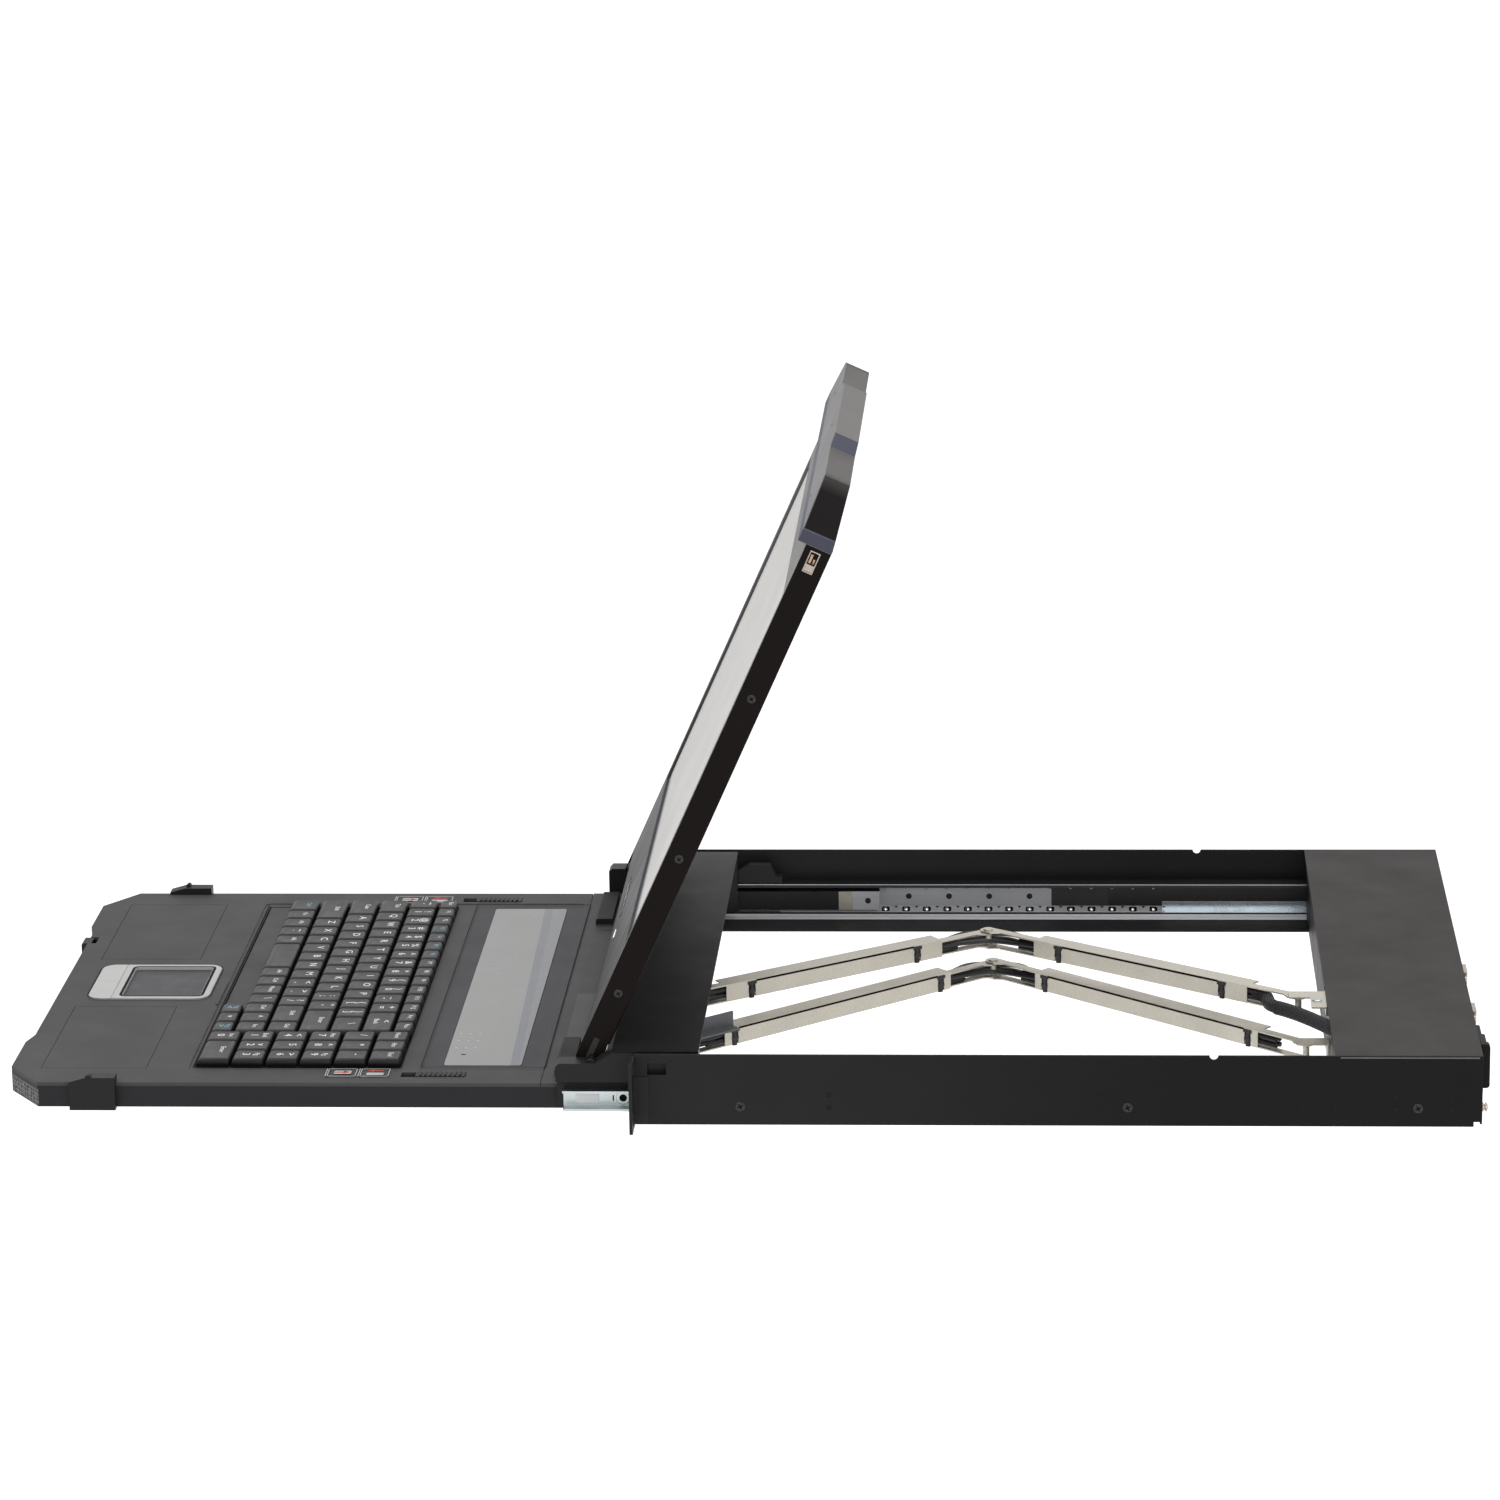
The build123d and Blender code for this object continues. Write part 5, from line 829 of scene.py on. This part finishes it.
EARTH_SCREW = ((2.0, -0.3), (2.0, 0.8), (2.7, 0.8), (2.7, 1.6), (1.7, 1.6), (1.7, 2.4), (2.7, 2.4),
               (2.7, 3.5), (1.6, 4.0), (0, 4.0))
wall_screws = Shape()
for side in (-1, 1):
    for y in (63.0, 294.0, 466.0):
        screw(wall_screws, (side * WALL_X, y, -10.5), (side, 0, 0), 3.0, 0.7)
    wall_screws.tone = 2
    for y in (452.9, 485.8, 397.0, 417.0, 277.0, 116.0):
        for z in (-3.1, -11.0):
            dimple = facing((side * WALL_X, y, z), (side, 0, 0))
            wall_screws.turned(dimple, [(1.7, 0), (1.6, 0.05)], 14)
wall_screws.tone = 3
wall_screws.turned(facing((208.0, CASE_REAR, -13.6), Y), EARTH_SCREW, 24)
wall_screws = wall_screws.finish("wall_screws", "chassis",
                                 [materials["screw_steel"], painted_shade_and_joints, dimple_black, materials["socket_metal"]],
                                 "screw_steel")
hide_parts("chassis_screws")

side_screws = Shape()
for side in (-1, 1):
    for a in (44.0, 136.0, 244.0):
        place = LID_PLANE @ Vector((side * LID_SIDE_X, a, 1.5))
        screw(side_screws, place, (side, 0, 0), 2.6, 0.5)
side_screws = side_screws.finish("lid_side_screws", "lid", [materials["screw_steel"], painted_shade_and_joints], "screw_steel")
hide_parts("lid_screws")

# Lid: socket opening with its tongue, small slots in the grip, and a lamp
socket = Shape()
socket_side = lid_side_plane(LID_SIDE_X - 0.1, 1)
# The socket opening's black part is painted shade inside it.
for tone, low, high in ((2, (328.2, 0.0, 0), (332.4, 5.0, 0.06)), (0, (332.4, 0.0, 0), (339.8, 5.0, 0.06)),
                        (1, (333.4, 2.9, 0.06), (338.8, 4.3, 0.09)),
                        (1, (333.4, 0.9, 0.06), (336.4, 2.0, 0.09))):
    socket.tone = tone
    socket.block(low, high, socket_side)
socket.finish("socket_opening", "lid", [painted_shade_and_joints, copper, materials["socket_metal"]], "socket_metal")

# The slots are black plates: painted shade in them.
slots = Shape()
for x, a in ((-126.0, 366.0), (6.0, 374.0), (124.0, 354.0)):
    slots.block((x - 3.0, a - 0.7, LID_FACE + 5.6), (x + 3.0, a + 0.7, LID_FACE + 5.64), LID_PLANE, bevel=0.4)
slots.finish("grip_slots", "lid", [painted_shade_and_joints], "bezel_plastic")

lamp = Shape()
spot = LID_PLANE @ Matrix.Translation((31.4, 24.3, LID_FACE))
lamp.turned(spot, [(7.0, 0), (7.0, 0.3), (6.2, 0.7), (0, 0.75)], 32, squeeze=0.42)
lamp.finish("lid_lamp", "lid", [ball_steel], "menu_plastic", smooth=True)

# Pictograms beside the keys: each a frame of thin lines doubled on its left, a plain arrow and a bar
MARK_WIDE, MARK_DEEP, MARK_LINE, MARK_SHIFT, MARK_THICK = 18.8, 14.8, 0.6, 1.2, 0.02
ARROW_LONG, ARROW_HALF = 10.0, 2.6


def arrow(shape, plane):
    head, shaft = ARROW_LONG * 0.42, ARROW_HALF / 3
    shape.prism([(0, 0), (head, -ARROW_HALF), (head, -shaft), (ARROW_LONG, -shaft), (ARROW_LONG, shaft),
                 (head, shaft), (head, ARROW_HALF)], 0, 0.03, plane)


marks = Shape()
for middle_x in (-182.5, 182.5):
    for start_y, turn, arrow_start, arrow_middle, bar_low, bar_high in (
            (-190.5, math.pi, 15.0, 7.0, 4.0, 10.4), (-170.5, 0.0, 5.0, 4.2, 7.6, 12.4)):
        place = Matrix(((0, 1, 0, middle_x - MARK_DEEP / 2), (1, 0, 0, start_y), (0, 0, 1, DECK_TOP + 0.04),
                        (0, 0, 0, 1)))
        marks.tone = 0
        for x in (0, MARK_SHIFT, MARK_WIDE - MARK_LINE):
            marks.block((x, 0, 0), (x + MARK_LINE, MARK_DEEP, MARK_THICK), place)
        for y0, y1 in ((0, MARK_LINE), (MARK_DEEP - 0.8, MARK_DEEP)):
            marks.block((MARK_SHIFT, y0, 0), (MARK_WIDE, y1, MARK_THICK), place)
        marks.block((5.0, bar_low, 0), (15.6, bar_high, MARK_THICK), place, bevel=0.8)
        marks.tone = 1
        shift = Matrix.Translation((arrow_start, arrow_middle, MARK_THICK))
        arrow(marks, place @ shift @ Matrix.Rotation(turn, 4, "Z"))
marks.finish("pictograms", "drawer", [materials["frame_plastic"], mark_red], "deck_plastic")

# Lamps and a small opening in the control panel
panel_marks = Shape()
for x in (103.0, 117.0, 131.0):
    for y in (-116.5, -110.5, -104.5):
        panel_marks.block((x - 0.9, y - 0.8, PANEL_Z), (x + 0.9, y + 0.8, PANEL_Z + 0.04), bevel=0.3)
# The small opening is a black plate: painted shade in it.
panel_marks.tone = 1
panel_marks.block((143.0, -112.2, PANEL_Z), (144.6, -109.4, PANEL_Z + 0.04), bevel=0.3)
panel_marks.finish("panel_marks", "drawer", [materials["frame_plastic"], painted_shade_and_joints], "panel_plastic")

# Dark lines: joints round the touchpad's frame and round the control panel's plate; painted shade on the
# frame's bevel round the touchpad and in the gap by the keys
joints_and_shade = Shape()
for half_x, front, rear, corner, width, z in ((36.0, -362.0, -284.0, 9.0, 0.6, DECK_TOP),
                                              (30.2, -340.2, -289.8, 2.2, 1.8, TOUCHPAD_TOP)):
    rings = (rounded(-half_x - width, half_x + width, front - width, rear + width, corner + width, z + 0.02),
             rounded(-half_x, half_x, front, rear, corner, z + 0.02))
    joints_and_shade.strip(*([joints_and_shade.vert(PLAIN, *point) for point in ring] for ring in rings))
for x0, y0, x1, y1, z in ((-PANEL_X, PANEL_FRONT, PANEL_X, -133.5, DECK_TOP),
                          (-PANEL_X, -58.4, PANEL_X, -57.8, DECK_TOP),
                          (-PANEL_X, PANEL_FRONT, -171.4, -57.8, DECK_TOP),
                          (171.4, PANEL_FRONT, PANEL_X, -57.8, DECK_TOP),
                          (-169.8, -273.6, 169.8, -272.6, WELL_Z), (169.8, -273.6, 170.6, -145.0, WELL_Z)):
    joints_and_shade.block((x0, y0, z), (x1, y1, z + 0.02))
joints_and_shade.finish("panel_joints_and_shade", "drawer", [painted_shade_and_joints], "deck_plastic")


# Cable arms: seam along each channel, single leads in it, ties round them
class Arm:
    """Places of one arm's pivots and the planes of its two channels, as in the CAD source."""

    def __init__(self, name, rear, elbow, front, base, tie_inset):
        rear, elbow, front = (Vector((*pivot, base)) for pivot in (rear, elbow, front))
        self.name, self.elbow, self.tie_inset = name, elbow, tie_inset
        self.length = (rear - elbow).length
        self.links = (("rear", self.plane(rear, elbow)), ("front", self.plane(elbow, front)))

    def plane(self, start, end):
        x = (end - start).normalized()
        y = Vector(Z).cross(x)
        return Matrix(((x.x, y.x, 0, start.x), (x.y, y.y, 0, start.y), (0, 0, 1, start.z), (0, 0, 0, 1)))


def lead_line(name, points, radius, steps, roundness):
    """A round lead through points, as a smooth curve."""
    curve = bpy.data.curves.new(name, "CURVE")
    curve.dimensions = "3D"
    spline = curve.splines.new("NURBS")
    spline.points.add(len(points) - 1)
    for target, point in zip(spline.points, points):
        target.co = (*point, 1)
    spline.order_u = 3
    spline.use_endpoint_u = True
    spline.resolution_u = steps
    curve.bevel_depth = radius
    curve.bevel_resolution = roundness
    curve.use_fill_caps = True
    return curve


def tube(shape, points, radius):
    """A lead as faces of a piece under construction."""
    verts, faces = as_mesh(lead_line("lead", points, radius, 6, 2))
    made = [shape.bm.verts.new(v) for v in verts]
    for face in faces:
        shape.face([made[k] for k in face])


arms = (
    Arm("upper", (95.0, 400.0), (-44.0, 208.0), (95.0, 16.0), 8.5, 19.0),
    Arm("lower", (120.0, 404.0), (-49.0, 211.0), (120.0, 18.0), -13.5, 8.0),
)
rubber = [materials["lead_rubber"]]
for arm in arms:
    near_tie, far_tie = TONGUE + arm.tie_inset, arm.length - TONGUE - arm.tie_inset
    for which, plane in arm.links:
        body = f"{arm.name}_{which}_arm"
        seam = Shape()
        seam.block((near_tie + 3.0, 1.5, 9.5), (far_tie - 3.0, 1.56, 10.8), plane)
        seam.finish(f"{arm.name}_{which}_seam", body, [painted_shade_and_joints], "arm_steel")

        leads = Shape()
        for w, z in LEAD_PLACES:
            lengths = (24.0, arm.length / 3, arm.length * 2 / 3, arm.length - 24.0)
            tube(leads, [plane @ Vector((s, w, z)) for s in lengths], LEAD_RADIUS)
        for s in (near_tie, far_tie):
            leads.block((s - 1.7, -7.2, -0.6), (s + 1.7, 2.0, 9.4), plane, bevel=0.7)
            leads.block((s - 3.1, 1.5, 8.2), (s + 3.1, 2.1, 10.2), plane)
            leads.block((s - 2.3, 1.5, 3.0), (s + 2.3, 2.1, 5.0), plane)
        leads = leads.finish(f"{arm.name}_{which}_single_leads", body, rubber, "lead_rubber")
        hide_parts(f"{arm.name}_arm_{which}_leads")

    rear_plane, front_plane = arm.links[0][1], arm.links[1][1]
    loops = Shape()
    for w, z, bow, radius in ((-4.7, 7.0, 9.0, 1.9), (-3.0, 4.6, 6.0, 1.7), (-0.9, 6.4, -6.5, 1.5)):
        part_way = w - bow * 0.35
        points = [rear_plane @ Vector((arm.length - 40.0, w, z)),
                  rear_plane @ Vector((arm.length - 26.0, part_way, z)),
                  rear_plane @ Vector((arm.length - 9.0, w - bow, z)),
                  front_plane @ Vector((9.0, w - bow, z)),
                  front_plane @ Vector((26.0, part_way, z)),
                  front_plane @ Vector((40.0, w, z))]
        tube(loops, points, radius)
    loops = loops.finish(f"{arm.name}_elbow_leads", None, rubber, "lead_rubber")
    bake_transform(loops)

    tails = Shape()
    for w, z, drift in ((-4.6, 3.6, 1.5), (-1.4, 4.4, -1.0), (-4.4, 7.4, 2.0), (-1.2, 7.6, 0.0)):
        points = [front_plane @ Vector((arm.length - back, w + drift * part, z))
                  for back, part in ((30.0, 0.0), (20.0, 0.2), (9.0, 1.0))]
        tube(tails, points, LEAD_RADIUS)
    tails.finish(f"{arm.name}_front_tails", f"{arm.name}_front_arm", rubber, "lead_rubber")

# Braided bundle from the upper arm into the rear box, along the route in the CAD source
route = [(101.0, 386.5, 14.0), (113.0, 402.0, 14.0), (156.0, 425.8, 14.0)]
bundle_line = lead_line("rear_bundle", [[v * MM for v in point] for point in route], 4.4 * MM, 16, 6)
bundle_line.materials.append(braid)
bundle = new_object("rear_bundle", bundle_line)
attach(bundle, "chassis")
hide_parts("rear_leads")

# The sleeve between the upper rear link and the bundle
sleeve = Shape()
upper_rear_plane = arms[0].links[0][1]
sleeve_points = [upper_rear_plane @ Vector((34.0, -3.0, 5.5)), upper_rear_plane @ Vector((24.0, -3.4, 5.5)),
                 Vector((96.0, 381.0, 14.0)), Vector((103.5, 389.8, 14.0))]
tube(sleeve, sleeve_points, 4.2)
sleeve = sleeve.finish("pivot_sleeve", None, [braid], "lead_rubber")
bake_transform(sleeve)

fixings = Shape()
fixings.turned(facing((107.0, 411.0, 20.7), Z), [(3.1, 0), (3.1, 0.5), (2.6, 0.8), (0, 0.9)])
fixings.finish("bracket_screws", "chassis", [materials["zinc"]], "arm_steel")

# Painted reflection: a lighter strip on each of the lid's cheeks by the hinge
cheek = Shape()
for side in (-1, 1):
    cheek.block((-5.0, 0.2, 0), (13.0, 3.8, 0.15), lid_side_plane(side * LID_SIDE_X, side), bevel=0.6)
cheek.finish("hinge_cheek_strips", "lid", [materials["cover_paint"]], "lid_paint")

# Painted highlight on the folded edge of the rear cover, a light line on each wall
cover_edge_highlights = Shape()
for side in (-1, 1):
    cover_edge_highlights.block((side * WALL_X - 0.02, 420.0, 20.5), (side * WALL_X + 0.06, 502.0, 21.3))
cover_edge_highlights.finish("cover_edge_highlights", "chassis", [materials["bezel_plastic"]], "cover_paint")

# A black guard beside and above the mains inlet. The photo shows only its side, behind the case
GUARD_TOP = 20.5
guard = Shape()
for rear, low, corner, left, right in ((510.2, -7.0, 2.0, 187.0, 192.5), (508.6, 14.0, 1.6, 172.0, 187.0),
                                       (506.6, 14.0, 1.0, 155.0, 172.0)):
    outline = [point[:2] for point in rounded(CASE_REAR - 1.0, rear, low, GUARD_TOP, corner, 0)]
    guard.prism(outline, left, right, side_plane(0, 1))
guard.finish("inlet_guard", "chassis", [dimple_black], "socket_plastic")

# Camera at the photo's angle
PITCH, YAW, ROLL = math.radians(15.114), math.radians(-3.306), math.radians(-0.906)
CAMERA = Vector((3.3872, 0.2552, 1.0670))
FOCAL_PIXELS, PHOTO_PIXELS, SENSOR = 5596.8, 1500, 36
forward = Vector((-math.cos(PITCH) * math.cos(YAW), math.cos(PITCH) * math.sin(YAW), -math.sin(PITCH)))
level = Vector((math.sin(YAW), math.cos(YAW), 0))
upright = level.cross(forward)
right = math.cos(ROLL) * level + math.sin(ROLL) * upright
upward = -math.sin(ROLL) * level + math.cos(ROLL) * upright
camera = new_object("camera", bpy.data.cameras.new("camera"))
camera.matrix_world = Matrix((
    (right.x, upward.x, -forward.x, CAMERA.x),
    (right.y, upward.y, -forward.y, CAMERA.y),
    (right.z, upward.z, -forward.z, CAMERA.z),
    (0, 0, 0, 1),
))
camera.data.sensor_width = SENSOR
camera.data.lens = FOCAL_PIXELS / PHOTO_PIXELS * SENSOR
camera.data.clip_start, camera.data.clip_end = 0.05, 100
bpy.context.scene.camera = camera
bpy.context.scene.view_settings.view_transform = "Standard"


def area_light(name, place, aim, size, power):
    light = bpy.data.lights.new(name, "AREA")
    light.shape, light.size, light.energy = "DISK", size, power
    holder = new_object(name, light)
    holder.location = place
    holder.rotation_euler = (Vector(aim) - Vector(place)).to_track_quat("-Z", "Y").to_euler()


area_light("key", (1.2, -1.6, 2.6), (0, 0.0, 0), 1.8, 27)
area_light("fill", (3.2, 0.9, 1.0), (0, 0.1, 0), 2.0, 20)
area_light("top", (-0.6, 0.9, 2.8), (0, 0.1, 0), 2.2, 25)

# White background: the world lights the part at one strength, and is seen and mirrored as white
WORLD_LIGHT, WORLD_SEEN = 0.42, 1.0
world = bpy.data.worlds.new("studio")
bpy.context.scene.world = world
world.use_nodes = True
world_nodes, world_links = world.node_tree.nodes, world.node_tree.links
world_nodes.clear()
world_mix = world_nodes.new("ShaderNodeMixShader")
for number, strength in ((1, WORLD_LIGHT), (2, WORLD_SEEN)):
    background = world_nodes.new("ShaderNodeBackground")
    background.inputs["Color"].default_value = (1, 1, 1, 1)
    background.inputs["Strength"].default_value = strength
    world_links.new(background.outputs[0], world_mix.inputs[number])
rays = world_nodes.new("ShaderNodeLightPath")
seen = rays.outputs["Is Camera Ray"]
for ray in ("Is Transmission Ray", "Is Glossy Ray"):
    larger = world_nodes.new("ShaderNodeMath")
    larger.operation = "MAXIMUM"
    world_links.new(seen, larger.inputs[0])
    world_links.new(rays.outputs[ray], larger.inputs[1])
    seen = larger.outputs[0]
world_links.new(seen, world_mix.inputs[0])
world_links.new(world_mix.outputs[0], world_nodes.new("ShaderNodeOutputWorld").inputs[0])

# Floor, in metres
FLOOR_Z, FLOOR_HALF, FLOOR_GLOW = -0.6, 30.0, 0.72
corners = [(x * FLOOR_HALF, y * FLOOR_HALF, 0) for x, y in ((-1, -1), (1, -1), (1, 1), (-1, 1))]
floor_mesh = bpy.data.meshes.new("floor")
floor_mesh.from_pydata(corners, [], [(0, 1, 2, 3)])
floor = new_object("floor", floor_mesh)
floor.location.z = FLOOR_Z
floor_tree = Tree("floor_white")
floor_tree.shader.inputs["Base Color"].default_value = (0.86, 0.86, 0.86, 1)
floor_tree.shader.inputs["Roughness"].default_value = 0.9
floor_tree.shader.inputs["Specular IOR Level"].default_value = 0.1
glow = floor_tree.nodes.new("ShaderNodeEmission")
glow.inputs["Color"].default_value = (1, 1, 1, 1)
path = floor_tree.nodes.new("ShaderNodeLightPath")
both = floor_tree.math("MAXIMUM", path.outputs["Is Camera Ray"], path.outputs["Is Glossy Ray"])
floor_tree.link(floor_tree.times(both, FLOOR_GLOW), glow.inputs["Strength"])
total = floor_tree.nodes.new("ShaderNodeAddShader")
floor_tree.link(floor_tree.shader.outputs[0], total.inputs[0])
floor_tree.link(glow.outputs[0], total.inputs[1])
floor_tree.link(total.outputs[0], floor_tree.out.inputs[0])
floor_mesh.materials.append(floor_tree.material)
floor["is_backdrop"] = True

low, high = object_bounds()
